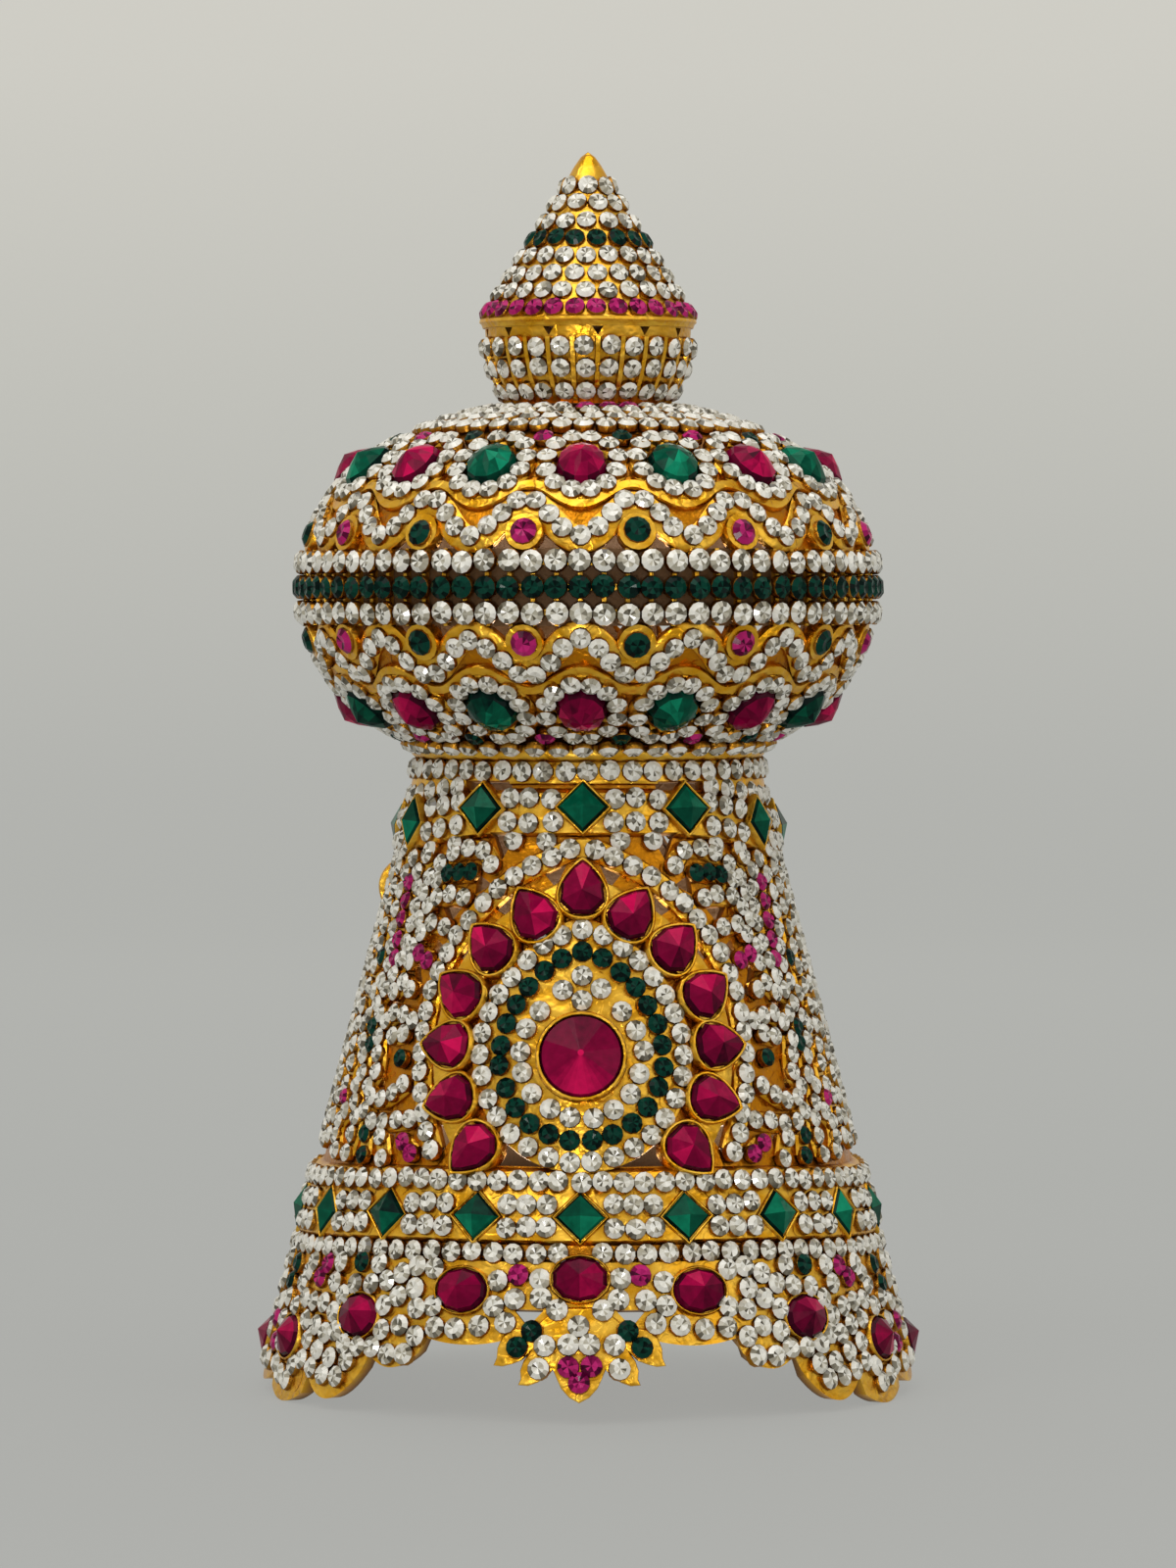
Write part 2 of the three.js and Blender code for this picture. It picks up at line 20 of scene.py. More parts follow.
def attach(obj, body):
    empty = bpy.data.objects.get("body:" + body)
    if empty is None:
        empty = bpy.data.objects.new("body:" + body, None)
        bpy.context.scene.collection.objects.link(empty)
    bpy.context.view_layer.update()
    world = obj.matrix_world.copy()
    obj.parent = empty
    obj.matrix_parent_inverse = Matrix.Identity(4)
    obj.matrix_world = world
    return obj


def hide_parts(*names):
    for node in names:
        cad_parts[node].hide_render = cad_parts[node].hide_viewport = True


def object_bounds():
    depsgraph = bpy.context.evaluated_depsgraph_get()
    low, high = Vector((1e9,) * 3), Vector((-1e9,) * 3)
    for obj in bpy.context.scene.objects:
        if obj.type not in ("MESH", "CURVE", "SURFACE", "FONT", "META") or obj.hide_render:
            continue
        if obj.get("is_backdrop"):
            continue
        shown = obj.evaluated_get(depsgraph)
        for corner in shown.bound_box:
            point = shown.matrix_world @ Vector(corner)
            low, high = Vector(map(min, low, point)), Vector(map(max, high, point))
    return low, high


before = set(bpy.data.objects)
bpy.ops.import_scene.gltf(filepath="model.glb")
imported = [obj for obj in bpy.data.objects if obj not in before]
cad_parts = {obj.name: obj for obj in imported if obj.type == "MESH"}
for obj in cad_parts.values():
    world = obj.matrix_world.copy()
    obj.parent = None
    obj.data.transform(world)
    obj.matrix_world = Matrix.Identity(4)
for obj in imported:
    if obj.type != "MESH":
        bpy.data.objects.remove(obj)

Colour = tuple[float, float, float]
Place = tuple[float, float, float]
Spot = tuple[float, float]
Line = Sequence[Spot]
Inputs = dict[str | int, object]
Solid = bmesh.types.BMesh
Mesh = bpy.types.Mesh
Socket = bpy.types.NodeSocket

CAD_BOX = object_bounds()
MM = 0.001
UNIT = (0.0, 1.0)
NOISE_SPAN = (0.3, 0.7)
SHARP = math.radians(38)
RIB_FOOT = -1.2
CUT_REACH = 6.0
LOG = logging.getLogger("crown")
RNG = np.random.default_rng(11)


class Gem(Enum):
    """Kinds of glass stone, by material slot."""

    RUBY = "ruby"
    EMERALD = "emerald"
    CRYSTAL = "crystal"
    DARK_GREEN = "dark_green"
    PINK = "pink"


class Cut(Enum):
    """Outlines of the large stones."""

    OVAL = "oval"
    SQUARE = "square"
    PEAR = "pear"


class GapShape(Enum):
    """Outlines of the pierced gaps."""

    SLOT = ((-0.5, -0.5), (0.5, -0.5), (0.5, 0.5), (-0.5, 0.5))
    TRIANGLE = ((-0.5, -0.5), (0.5, -0.5), (0.0, 0.5))


class NodeGraph:
    """Node tree of one material, built node by node."""

    def __init__(self, name: str) -> None:
        """Starts a material that has only its surface shader.

        Args:
            name: name of the material.
        """
        self.material = bpy.data.materials.new(name)
        self.material.use_nodes = True
        self.tree = self.material.node_tree
        self.place = self.add("ShaderNodeTexCoord", {}).outputs["Object"]

    def feed(self, node: bpy.types.Node, inputs: Inputs) -> None:
        """Links a node's inputs to sockets, or sets their values.

        Args:
            node: node to feed.
            inputs: values, colours or sockets by input name or number.
        """
        for key, value in inputs.items():
            socket = node.inputs[key]
            if isinstance(value, Socket):
                self.tree.links.new(value, socket)
            else:
                socket.default_value = (*value, 1) if socket.type == "RGBA" else value

    def add(self, kind: str, inputs: Inputs, **settings: object) -> bpy.types.Node:
        """Adds a node and feeds its inputs.

        Args:
            kind: Blender's name of the node type.
            inputs: values, colours or sockets by input name or number.
            settings: the node's own settings.

        Returns:
            The new node.
        """
        node = self.tree.nodes.new(kind)
        for key, value in settings.items():
            setattr(node, key, value)
        self.feed(node, inputs)
        return node

    def surface(self, inputs: Inputs) -> bpy.types.Material:
        """Feeds the surface shader and returns the material."""
        self.feed(self.tree.nodes["Principled BSDF"], inputs)
        return self.material

    def noise(self, size: float, detail: float = 2.0, squeeze: Place = (1, 1, 1)) -> Socket:
        """Noise with features of a size.

        Args:
            size: size of the features, in millimetres.
            detail: number of finer layers.
            squeeze: how much it is squeezed along each axis.

        Returns:
            The noise.
        """
        place = self.add("ShaderNodeMapping", {"Vector": self.place, "Scale": squeeze}).outputs["Vector"]
        inputs = {"Vector": place, "Scale": 1 / (size * MM), "Detail": detail}
        return self.add("ShaderNodeTexNoise", inputs).outputs["Fac"]

    def attribute(self, name: str) -> Socket:
        """Value of a mesh attribute."""
        return self.add("ShaderNodeAttribute", {}, attribute_name=name).outputs["Fac"]

    def spread(self, value: Socket, start: Spot, end: Spot) -> Socket:
        """Maps a value from one range to another."""
        keys = ("Value", "From Min", "From Max", "To Min", "To Max")
        return self.add("ShaderNodeMapRange", dict(zip(keys, (value, *start, *end)))).outputs["Result"]

    def mix(self, share: Socket, first: Socket | Colour, second: Socket | Colour) -> Socket:
        """Mixes two colours by a share."""
        return self.add("ShaderNodeMix", {0: share, 6: first, 7: second}, data_type="RGBA").outputs[2]

    def total(self, first: Socket, second: Socket | float) -> Socket:
        """Sum of two values."""
        return self.add("ShaderNodeMath", {0: first, 1: second}).outputs[0]

    def product(self, first: Socket, second: Socket) -> Socket:
        """Product of two values."""
        return self.add("ShaderNodeMath", {0: first, 1: second}, operation="MULTIPLY").outputs[0]

    def ramp(self, share: Socket, shades: Sequence[Colour]) -> Socket:
        """Colour at a share of the way through evenly spaced shades.

        Args:
            share: share of the way.
            shades: shades in order.

        Returns:
            The colour.
        """
        node = self.add("ShaderNodeValToRGB", {0: share})
        stops = node.color_ramp.elements
        for _ in shades[2:]:
            stops.new(0.5)
        for i, shade in enumerate(shades):
            stops[i].position = i / (len(shades) - 1)
            stops[i].color = (*shade, 1)
        return node.outputs["Color"]


@dataclass(frozen=True)
class GoldFinish:
    """Polished gold plate on a wrinkled casting, with painted shade: redder in recesses, darker in crevices
    and inside, where it is dull.
    """

    slot: str = "gold"
    bright: Colour = (0.78, 0.365, 0.012)
    pale: Colour = (0.93, 0.545, 0.062)
    # painted shade: the redder, darker colour that recesses take
    recess: Colour = (0.56, 0.205, 0.006)
    # painted shade: the dark brown of the crown's inner faces, which also have a plain dull finish
    inside: Colour = (0.17, 0.085, 0.03)
    # painted shade: dark brown laid round the stones and where surfaces close in
    painted_shade: Colour = (0.11, 0.06, 0.018)
    recess_span: Spot = (0.2, 0.65)
    inside_span: Spot = (-0.5, -0.2)
    inside_metal: Spot = (1.0, 0.1)
    inside_dull: Spot = (0.0, 0.35)
    # reach of the ambient occlusion and how strongly it lays painted shade
    crevice: float = 1.3
    occlusion_shade: Spot = (0.7, 0.0)
    wrinkle: float = 2.6
    stretch: Place = (0.75, 0.75, 1.15)
    sand: float = 0.5
    grains: Spot = (0.015, 0.2)
    crease: float = 4.5
    groove: Spot = (0.17, 0.0)
    relief: float = 0.55
    relief_height: float = 0.8
    polish: Spot = (0.25, 0.4)

    @cache
    def material(self) -> bpy.types.Material:
        """Builds the material once.

        Returns:
            The material.
        """
        graph = NodeGraph(f"cast_{self.slot}")
        wrinkles = graph.noise(self.wrinkle, squeeze=self.stretch)
        inside, recess = graph.attribute("inside"), graph.attribute("recess")
        tint = graph.mix(graph.spread(wrinkles, (0.35, 0.65), UNIT), self.bright, self.pale)
        # painted shade: recesses take the redder, darker colour
        tint = graph.mix(recess, tint, self.recess)
        # painted shade: ambient occlusion darkens the gold towards the shade colour where nearby surfaces
        # close in
        crevice = graph.add("ShaderNodeAmbientOcclusion", {"Distance": self.crevice * MM}, samples=1)
        occluded = graph.spread(crevice.outputs["AO"], (0.2, 0.8), self.occlusion_shade)
        tint = graph.mix(graph.total(graph.attribute("painted_shade"), occluded), tint, self.painted_shade)
        offset = graph.total(graph.noise(self.crease, 2.5), -0.5)
        creases = graph.spread(graph.product(offset, offset), (0.0, 0.004), self.groove)
        grains = graph.product(graph.noise(self.sand), graph.spread(recess, UNIT, self.grains))
        height = graph.total(graph.total(wrinkles, grains), creases)
        inputs = {"Strength": self.relief, "Distance": self.relief_height * MM, "Height": height}
        rough = graph.spread(wrinkles, NOISE_SPAN, self.polish)
        return graph.surface({
            # painted shade inside the crown, where the gold is also less metallic and rougher
            "Base Color": graph.mix(inside, tint, self.inside),
            "Metallic": graph.spread(inside, UNIT, self.inside_metal),
            "Roughness": graph.total(rough, graph.spread(inside, UNIT, self.inside_dull)),
            "Normal": graph.add("ShaderNodeBump", inputs).outputs["Normal"],
        })


@dataclass(frozen=True)
class GlassFinish:
    """Foil-backed cut glass whose facets take painted reflections and shade, from dark to bright."""

    gem: Gem
    dark: Colour
    middle: Colour
    bright: Colour
    shine: float
    cloud: float = 1.4
    cloud_tone: Spot = (-0.09, 0.09)
    roughness: float = 0.05
    bending: float = 1.55

    @property
    def slot(self) -> str:
        """Name of the material slot."""
        return self.gem.value

    @cache
    def material(self) -> bpy.types.Material:
        """Builds the material once.

        Returns:
            The material.
        """
        graph = NodeGraph(f"cut_{self.slot}")
        cloud = graph.spread(graph.noise(self.cloud), NOISE_SPAN, self.cloud_tone)
        # painted reflection on each facet, with a little random haze
        facet_light = graph.total(graph.attribute("facet_light"), cloud)
        return graph.surface({
            "Base Color": graph.ramp(facet_light, (self.dark, self.middle, self.bright)),
            "Roughness": self.roughness,
            "IOR": self.bending,
            "Specular IOR Level": self.shine,
        })


@dataclass(frozen=True)
class PaperFinish:
    """Paper of the studio that glows with painted light, paler towards its top."""

    shades: tuple[Colour, ...]
    # dark base under the painted glow, so little shadow shows on the paper
    sheet: Colour = (0.05, 0.05, 0.049)
    fleck: float = 2.0
    fleck_tone: Spot = (-0.004, 0.004)
    roughness: float = 0.9

    def material(self) -> bpy.types.Material:
        """Builds the material.

        Returns:
            The material.
        """
        graph = NodeGraph("paper")
        graph.material.cycles.emission_sampling = "NONE"
        fleck = graph.spread(graph.noise(self.fleck), NOISE_SPAN, self.fleck_tone)
        return graph.surface({
            "Base Color": self.sheet,
            "Emission Color": graph.ramp(graph.total(graph.attribute("way"), fleck), self.shades),
            "Emission Strength": 1.0,
            "Roughness": self.roughness,
        })


GOLD = GoldFinish()
GLASS = {finish.gem: finish for finish in (
    GlassFinish(Gem.RUBY, (0.036, 0.0002, 0.009), (0.215, 0.0008, 0.036), (0.62, 0.006, 0.09), 0.05),
    GlassFinish(Gem.EMERALD, (0.0002, 0.008, 0.007), (0.0008, 0.08, 0.043), (0.006, 0.27, 0.145), 0.05),
    GlassFinish(Gem.CRYSTAL, (0.055, 0.043, 0.022), (0.43, 0.397, 0.311), (0.85, 0.836, 0.78), 0.5),
    GlassFinish(
        Gem.DARK_GREEN, (0.0002, 0.0035, 0.003), (0.0006, 0.012, 0.0085), (0.0024, 0.045, 0.029), 0.06,
    ),
    GlassFinish(Gem.PINK, (0.04, 0.0006, 0.015), (0.2, 0.003, 0.062), (0.5, 0.02, 0.165), 0.08),
)}


def spot_at(angle: float, radius: float, z: float) -> Vector:
    """Point at an angle from the front, a radius and a height."""
    turn = math.radians(angle)
    return Vector((radius * math.sin(turn), -radius * math.cos(turn), z))


def frame_of(across: Vector, along: Vector, out: Vector, place: Vector) -> Matrix:
    """Frame with three axes at a place."""
    return Matrix.Translation(place) @ Matrix((across, along, out)).transposed().to_4x4()


def turned_along(places: Sequence[Matrix], closed: bool = False) -> list[Matrix]:
    """Turns frames about their Z axes, so that Y follows the line through them.

    Args:
        places: frames along the line.
        closed: whether the line ends where it began.

    Returns:
        The turned frames.
    """
    last = len(places) - 1
    frames = []
    for i, place in enumerate(places):
        ahead = places[(i + 1) % len(places) if closed else min(i + 1, last)]
        behind = places[i - 1 if closed else max(i - 1, 0)]
        out = place.col[2].xyz
        along = ahead.translation - behind.translation
        along = (along - out * along.dot(out)).normalized()
        frames.append(frame_of(along.cross(out), along, out, place.translation))
    return frames


class RoundWall(ABC):
    """Outer face of a round wall that ribs and stones stand on, in millimetres."""

    @abstractmethod
    def radius(self, z: float) -> float:
        """Radius of the face at a height."""

    def slope(self, z: float) -> float:
        """How much the radius grows for each millimetre upwards."""
        step = 0.02
        return (self.radius(z + step) - self.radius(z - step)) / (2 * step)

    def frame(self, angle: float, z: float, turn: float = 0.0, lift: float = 0.0) -> Matrix:
        """Frame on the face: X to the right, Y up the face, Z outwards.

        Args:
            angle: degrees from the front.
            z: height.
            turn: clockwise turn of the frame, in degrees.
            lift: distance off the face.

        Returns:
            The frame's matrix.
        """
        right = spot_at(angle + 90, 1, 0)
        up = spot_at(angle, self.slope(z), 1).normalized()
        out = right.cross(up)
        place = frame_of(right, up, out, spot_at(angle, self.radius(z), z) + lift * out)
        return place @ Matrix.Rotation(-math.radians(turn), 4, "Z")

    def near(self, angle: float, z: float, across: float, up: float) -> Spot:
        """Angle and height of a spot a little away from another, measured along the face."""
        height = z + up / math.hypot(1, self.slope(z))
        return angle + math.degrees(across / max(self.radius(height), 1.0)), height

    def lift_of(self, point: Vector) -> float:
        """How far a point stands off the face, measured level."""
        return math.hypot(point.x, point.y) - self.radius(point.z)

    def height_of(self, point: Vector) -> float:
        """How far a point stands off the face, measured square to it."""
        return self.lift_of(point) / math.hypot(1, self.slope(point.z))


@dataclass(frozen=True)
class SkirtWall(RoundWall):
    """Cone of the skirt, steeper at the collar."""

    rim_radius: float = 50.8
    taper: float = 0.2635
    collar_z: float = 85.0
    top_z: float = 98.4
    top_radius: float = 26.1

    def radius(self, z: float) -> float:
        """Radius of the face at a height.

        Args:
            z: height.

        Returns:
            The radius.
        """
        if z < self.collar_z:
            return self.rim_radius - self.taper * z
        part = (z - self.collar_z) / (self.top_z - self.collar_z)
        start = self.rim_radius - self.taper * self.collar_z
        return start + (self.top_radius - start) * part


@dataclass(frozen=True)
class BulbWall(RoundWall):
    """Superellipse of the bulb."""

    middle_z: float = 123.4
    reach: float = 43.9
    half_height: float = 28.4
    power: float = 2.25

    def radius(self, z: float) -> float:
        """Radius of the face at a height."""
        part = min(1.0, abs(z - self.middle_z) / self.half_height)
        return self.reach * (1 - part ** self.power) ** (1 / self.power)


@dataclass(frozen=True)
class FinialWall(RoundWall):
    """Cup below, plain ring and cone above."""

    heights: tuple[float, ...] = (151.5, 155.2, 159.0, 162.0, 163.4, 165.0, 185.0, 186.5, 188.3, 189.7, 190.5)
    radii: tuple[float, ...] = (12.3, 14.4, 15.7, 16.1, 16.2, 16.06, 3.6, 3.1, 2.1, 1.1, 0.0)

    def radius(self, z: float) -> float:
        """Radius of the face at a height."""
        return float(np.interp(z, self.heights, self.radii))


def new_verts(made: Iterable[object]) -> list[bmesh.types.BMVert]:
    """Vertices among the geometry that an operator made."""
    return [item for item in made if isinstance(item, bmesh.types.BMVert)]


def revolve(profile: Line, columns: int, closed: bool = True) -> Solid:
    """Spins a profile of radius and height round the axis.

    Args:
        profile: radii and heights in order.
        columns: steps round the axis.
        closed: whether the profile's end joins its start.

    Returns:
        The spun mesh, in the profile's unit.
    """
    bm = bmesh.new()
    section = [bm.verts.new(spot_at(0, r, z)) for r, z in profile]
    for pair in zip(section, section[1:] + section[:1] if closed else section[1:]):
        bm.edges.new(pair)
    bmesh.ops.spin(
        bm, geom=bm.verts[:] + bm.edges[:], cent=(0, 0, 0), axis=(0, 0, 1), angle=math.tau, steps=columns,
        use_merge=True,
    )
    bmesh.ops.remove_doubles(bm, verts=bm.verts, dist=1e-4)
    bmesh.ops.recalc_face_normals(bm, faces=bm.faces)
    return bm


def sweep(frames: Sequence[Matrix], profile: Line, closed: bool = False) -> Solid:
    """Carries a closed profile along frames.

    Args:
        frames: frames along the line, with X across it and Z outwards.
        profile: points across and outwards.
        closed: whether the line ends where it began.

    Returns:
        The swept mesh.
    """
    bm = bmesh.new()
    section = [bm.verts.new(frames[0] @ Vector((x, 0, z))) for x, z in profile]
    edges = [bm.edges.new(pair) for pair in zip(section, section[1:] + section[:1])]
    if not closed:
        bm.faces.new(section)
    stops = [*frames, frames[0]] if closed else list(frames)
    for before, after in zip(stops, stops[1:]):
        made = bmesh.ops.extrude_edge_only(bm, edges=edges)["geom"]
        fresh = new_verts(made)
        new = set(fresh)
        edges = [item for item in made if isinstance(item, bmesh.types.BMEdge) and new.issuperset(item.verts)]
        bmesh.ops.transform(bm, matrix=after @ before.inverted(), verts=fresh)
    if closed:
        bmesh.ops.remove_doubles(bm, verts=bm.verts, dist=1e-3)
    else:
        bmesh.ops.contextual_create(bm, geom=edges)
    bmesh.ops.recalc_face_normals(bm, faces=bm.faces)
    return bm


def rib(
    wall: RoundWall, spots: Line, width: float, high: float, low: float = RIB_FOOT, closed: bool = False
) -> Solid:
    """Rib with rounded shoulders along a line on a wall.

    Args:
        wall: wall that the rib stands on.
        spots: angles and heights along the line.
        width: width of the rib.
        high: height of its top off the wall.
        low: height of its foot, inside the wall.
        closed: whether the line ends where it began.

    Returns:
        The rib.
    """
    half, side = width / 2, high - 0.35
    crest = 0.78 * half
    section = ((-half, low), (half, low), (half, side), (crest, high), (-crest, high), (-half, side))
    return sweep(turned_along([wall.frame(*spot) for spot in spots], closed), section, closed)


def prism(
    outline: Line, place: Matrix | None = None, low: float = -CUT_REACH, high: float = CUT_REACH
) -> Solid:
    """Extrudes a flat outline between two heights and puts it in place.

    Args:
        outline: corners in order.
        place: frame that the prism stands in.
        low: lower height.
        high: upper height.

    Returns:
        The prism.
    """
    bm = bmesh.new()
    face = bm.faces.new([bm.verts.new((x, y, low)) for x, y in outline])
    top = new_verts(bmesh.ops.extrude_face_region(bm, geom=[face])["geom"])
    bmesh.ops.translate(bm, vec=(0, 0, high - low), verts=top)
    bmesh.ops.recalc_face_normals(bm, faces=bm.faces)
    if place is not None:
        bmesh.ops.transform(bm, matrix=place, verts=bm.verts)
    return bm


def wrapped(bm: Solid, wall: RoundWall) -> Solid:
    """Bends a flat solid to a wall.

    Args:
        bm: solid of arc distances from the front, heights and lifts; it is changed.
        wall: wall that it is bent to.

    Returns:
        The same solid.
    """
    for vert in bm.verts:
        across, z, lift = vert.co
        radius = wall.radius(z)
        vert.co = spot_at(math.degrees(across / radius), radius + lift, z)
    bmesh.ops.recalc_face_normals(bm, faces=bm.faces)
    return bm


def bent_plate(wall: RoundWall, outline: Line, low: float, high: float, round_off: float) -> Solid:
    """Plate with a rounded top edge, bent to a wall.

    Args:
        wall: wall that the plate lies on.
        outline: arc distances from the front and heights, in order.
        low: lower face's distance off the wall.
        high: upper face's distance off the wall.
        round_off: radius of the upper edge.

    Returns:
        The bent plate.
    """
    bm = prism(outline, None, low, high)
    crest = [edge for edge in bm.edges if all(vert.co.z > high - 1e-4 for vert in edge.verts)]
    bmesh.ops.bevel(
        bm, geom=crest, offset=round_off, offset_type="OFFSET", segments=2, profile=0.5, affect="EDGES",
        material=-1,
    )
    reach = max(abs(x) for x, _ in outline)
    for across in np.arange(-reach + 1.0, reach, 1.5):
        everything = bm.verts[:] + bm.edges[:] + bm.faces[:]
        bmesh.ops.bisect_plane(bm, geom=everything, dist=1e-5, plane_co=(across, 0, 0), plane_no=(1, 0, 0))
    return wrapped(bm, wall)


def joined(parts: Iterable[Solid], name: str) -> Mesh:
    """Joins meshes in millimetres into one in metres.

    Args:
        parts: meshes to join; they are freed.
        name: name of the new mesh.

    Returns:
        The joined mesh.
    """
    whole = bmesh.new()
    for part in parts:
        single = bpy.data.meshes.new("single")
        part.to_mesh(single)
        part.free()
        whole.from_mesh(single)
        bpy.data.meshes.remove(single)
    bmesh.ops.scale(whole, vec=(MM, MM, MM), verts=whole.verts)
    mesh = bpy.data.meshes.new(name)
    whole.to_mesh(mesh)
    whole.free()
    return mesh


def repeated(bm: Solid, places: Sequence[Matrix], name: str) -> Mesh:
    """Joins a copy of a small shape at every place into one mesh.

    Args:
        bm: the shape; it is freed.
        places: frames in millimetres.
        name: name of the new mesh.

    Returns:
        The joined mesh, in metres.
    """
    copies = []
    for place in places:
        single = bm.copy()
        bmesh.ops.transform(single, matrix=place, verts=single.verts)
        copies.append(single)
    bm.free()
    return joined(copies, name)


def pierced(mesh: Mesh, cutters: Mesh) -> Mesh:
    """Cuts solids out of a wall.

    Args:
        mesh: closed wall.
        cutters: closed solids to cut away.

    Returns:
        The wall with its gaps.
    """
    wall = bpy.data.objects.new("uncut", mesh)
    tool = bpy.data.objects.new("cutters", cutters)
    for item in (wall, tool):
        bpy.context.scene.collection.objects.link(item)
    cut = wall.modifiers.new("gaps", "BOOLEAN")
    cut.object = tool
    cut.operation = "DIFFERENCE"
    cut.solver = "EXACT"
    shaped = wall.evaluated_get(bpy.context.evaluated_depsgraph_get())
    result = bpy.data.meshes.new_from_object(shaped)
    for item in (wall, tool):
        bpy.data.objects.remove(item)
    return result


def mark(mesh: Mesh, key: str, values: np.ndarray, domain: str = "POINT") -> None:
    """Writes a value for each vertex or face of a mesh."""
    mesh.attributes.new(key, "FLOAT", domain).data.foreach_set("value", values.astype(np.float32))


def add_piece(name: str, mesh: Mesh, finish: GoldFinish | GlassFinish, *nodes: str) -> None:
    """Adds a finished piece that rides on the crown.

    Args:
        name: name of the piece.
        mesh: its mesh, in metres.
        finish: its finish.
        nodes: CAD nodes that it stands for.
    """
    piece = bpy.data.objects.new(name, mesh)
    bpy.context.scene.collection.objects.link(piece)
    mesh.materials.clear()
    mesh.materials.append(finish.material())
    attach(piece, "root")
    finish.slot
    if nodes:
        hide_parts(*nodes)
    LOG.info("%s: %d faces", name, len(mesh.polygons))


def add_gold(
    name: str, wall: RoundWall, parts: Iterable[Solid], *nodes: str, depth: float = 9.0,
    gaps: Sequence[Solid] = (),
) -> None:
    """Adds a gold piece, shaded by how deep its surface lies in the wall.

    Args:
        name: name of the piece.
        wall: wall that depth is measured from.
        parts: meshes that it is joined from; they are freed.
        nodes: CAD nodes that it stands for.
        depth: depth of the wall's inner face, out of reach where it has none.
        gaps: solids that are cut out of it; they are freed.
    """
    mesh = joined(parts, name)
    if gaps:
        mesh = pierced(mesh, joined(gaps, "gaps"))
    sunk = np.array([-wall.height_of(vert.co / MM) for vert in mesh.vertices])
    # painted shade: the deeper a face lies below the wall, the more it takes the recess colour; the same mask
    # adds a sandy grain
    mark(mesh, "recess", np.interp(sunk, GOLD.recess_span, UNIT))
    # painted shade: faces near the wall's inner face take the dark inside colour
    mark(mesh, "inside", np.interp(sunk - depth, GOLD.inside_span, UNIT))
    mesh.shade_smooth()
    mesh.set_sharp_from_angle(angle=SHARP)
    add_piece(name, mesh, GOLD, *nodes)


def smooth_line(spots: Line, steps: int) -> list[Spot]:
    """Smooth line through spots.

    Args:
        spots: spots that the line passes through.
        steps: new spots for each span.

    Returns:
        The spots of the line.
    """
    nodes = [np.array(item) for item in spots]
    last = len(nodes) - 1
    line = []
    for i in range(last):
        a, b, c, d = (nodes[min(max(i + k, 0), last)] for k in (-1, 0, 1, 2))
        for t in np.arange(steps) / steps:
            near = 2 * b + (c - a) * t
            far = (2 * a - 5 * b + 4 * c - d) * t ** 2 + (3 * b - a - 3 * c + d) * t ** 3
            line.append(tuple((near + far) / 2))
    return [*line, tuple(nodes[-1])]


def evenly(values: np.ndarray, points: np.ndarray, count: int, closed: bool = False) -> list[tuple]:
    """Values at even steps along a line.

    Args:
        values: a row of values for each point of the line.
        points: points of the line.
        count: number of steps.
        closed: whether the line ends where it began.

    Returns:
        A row of values for each step.
    """
    length = np.concatenate([[0], np.cumsum(np.linalg.norm(np.diff(points, axis=0), axis=1))])
    stops = np.linspace(0, length[-1], count, endpoint=not closed)
    return [tuple(float(np.interp(stop, length, column)) for column in values.T) for stop in stops]


def mirrored(angle: float, back: bool = False) -> list[float]:
    """Angles of a feature and its mirror images, with those behind if it repeats there."""
    front = [0.0] if angle == 0 else [angle, -angle]
    return front + [180 - item for item in front] if back else front


def round_angles(count: int, start: float = 0.0) -> list[float]:
    """Even angles round the axis, the first at a share of a step."""
    return [360 * (i + start) / count for i in range(count)]


@dataclass(frozen=True)
class Vine:
    """Small stones spaced evenly along a smooth line through a few knots."""

    gem: Gem
    count: int
    knots: tuple[Spot, ...]

    def spots(self, wall: RoundWall) -> list[Spot]:
        """Angles and heights of the stones on a wall."""
        line = np.array(smooth_line(self.knots, 8))
        return evenly(line, np.array([wall.frame(*spot).translation for spot in line]), self.count)


def vines_of(gem: Gem) -> Callable[..., Vine]:
    """Maker of vines of one kind of stone, from a count and knots."""
    return lambda count, *knots: Vine(gem, count, knots)


crystals, greens, pinks = (vines_of(gem) for gem in (Gem.CRYSTAL, Gem.DARK_GREEN, Gem.PINK))


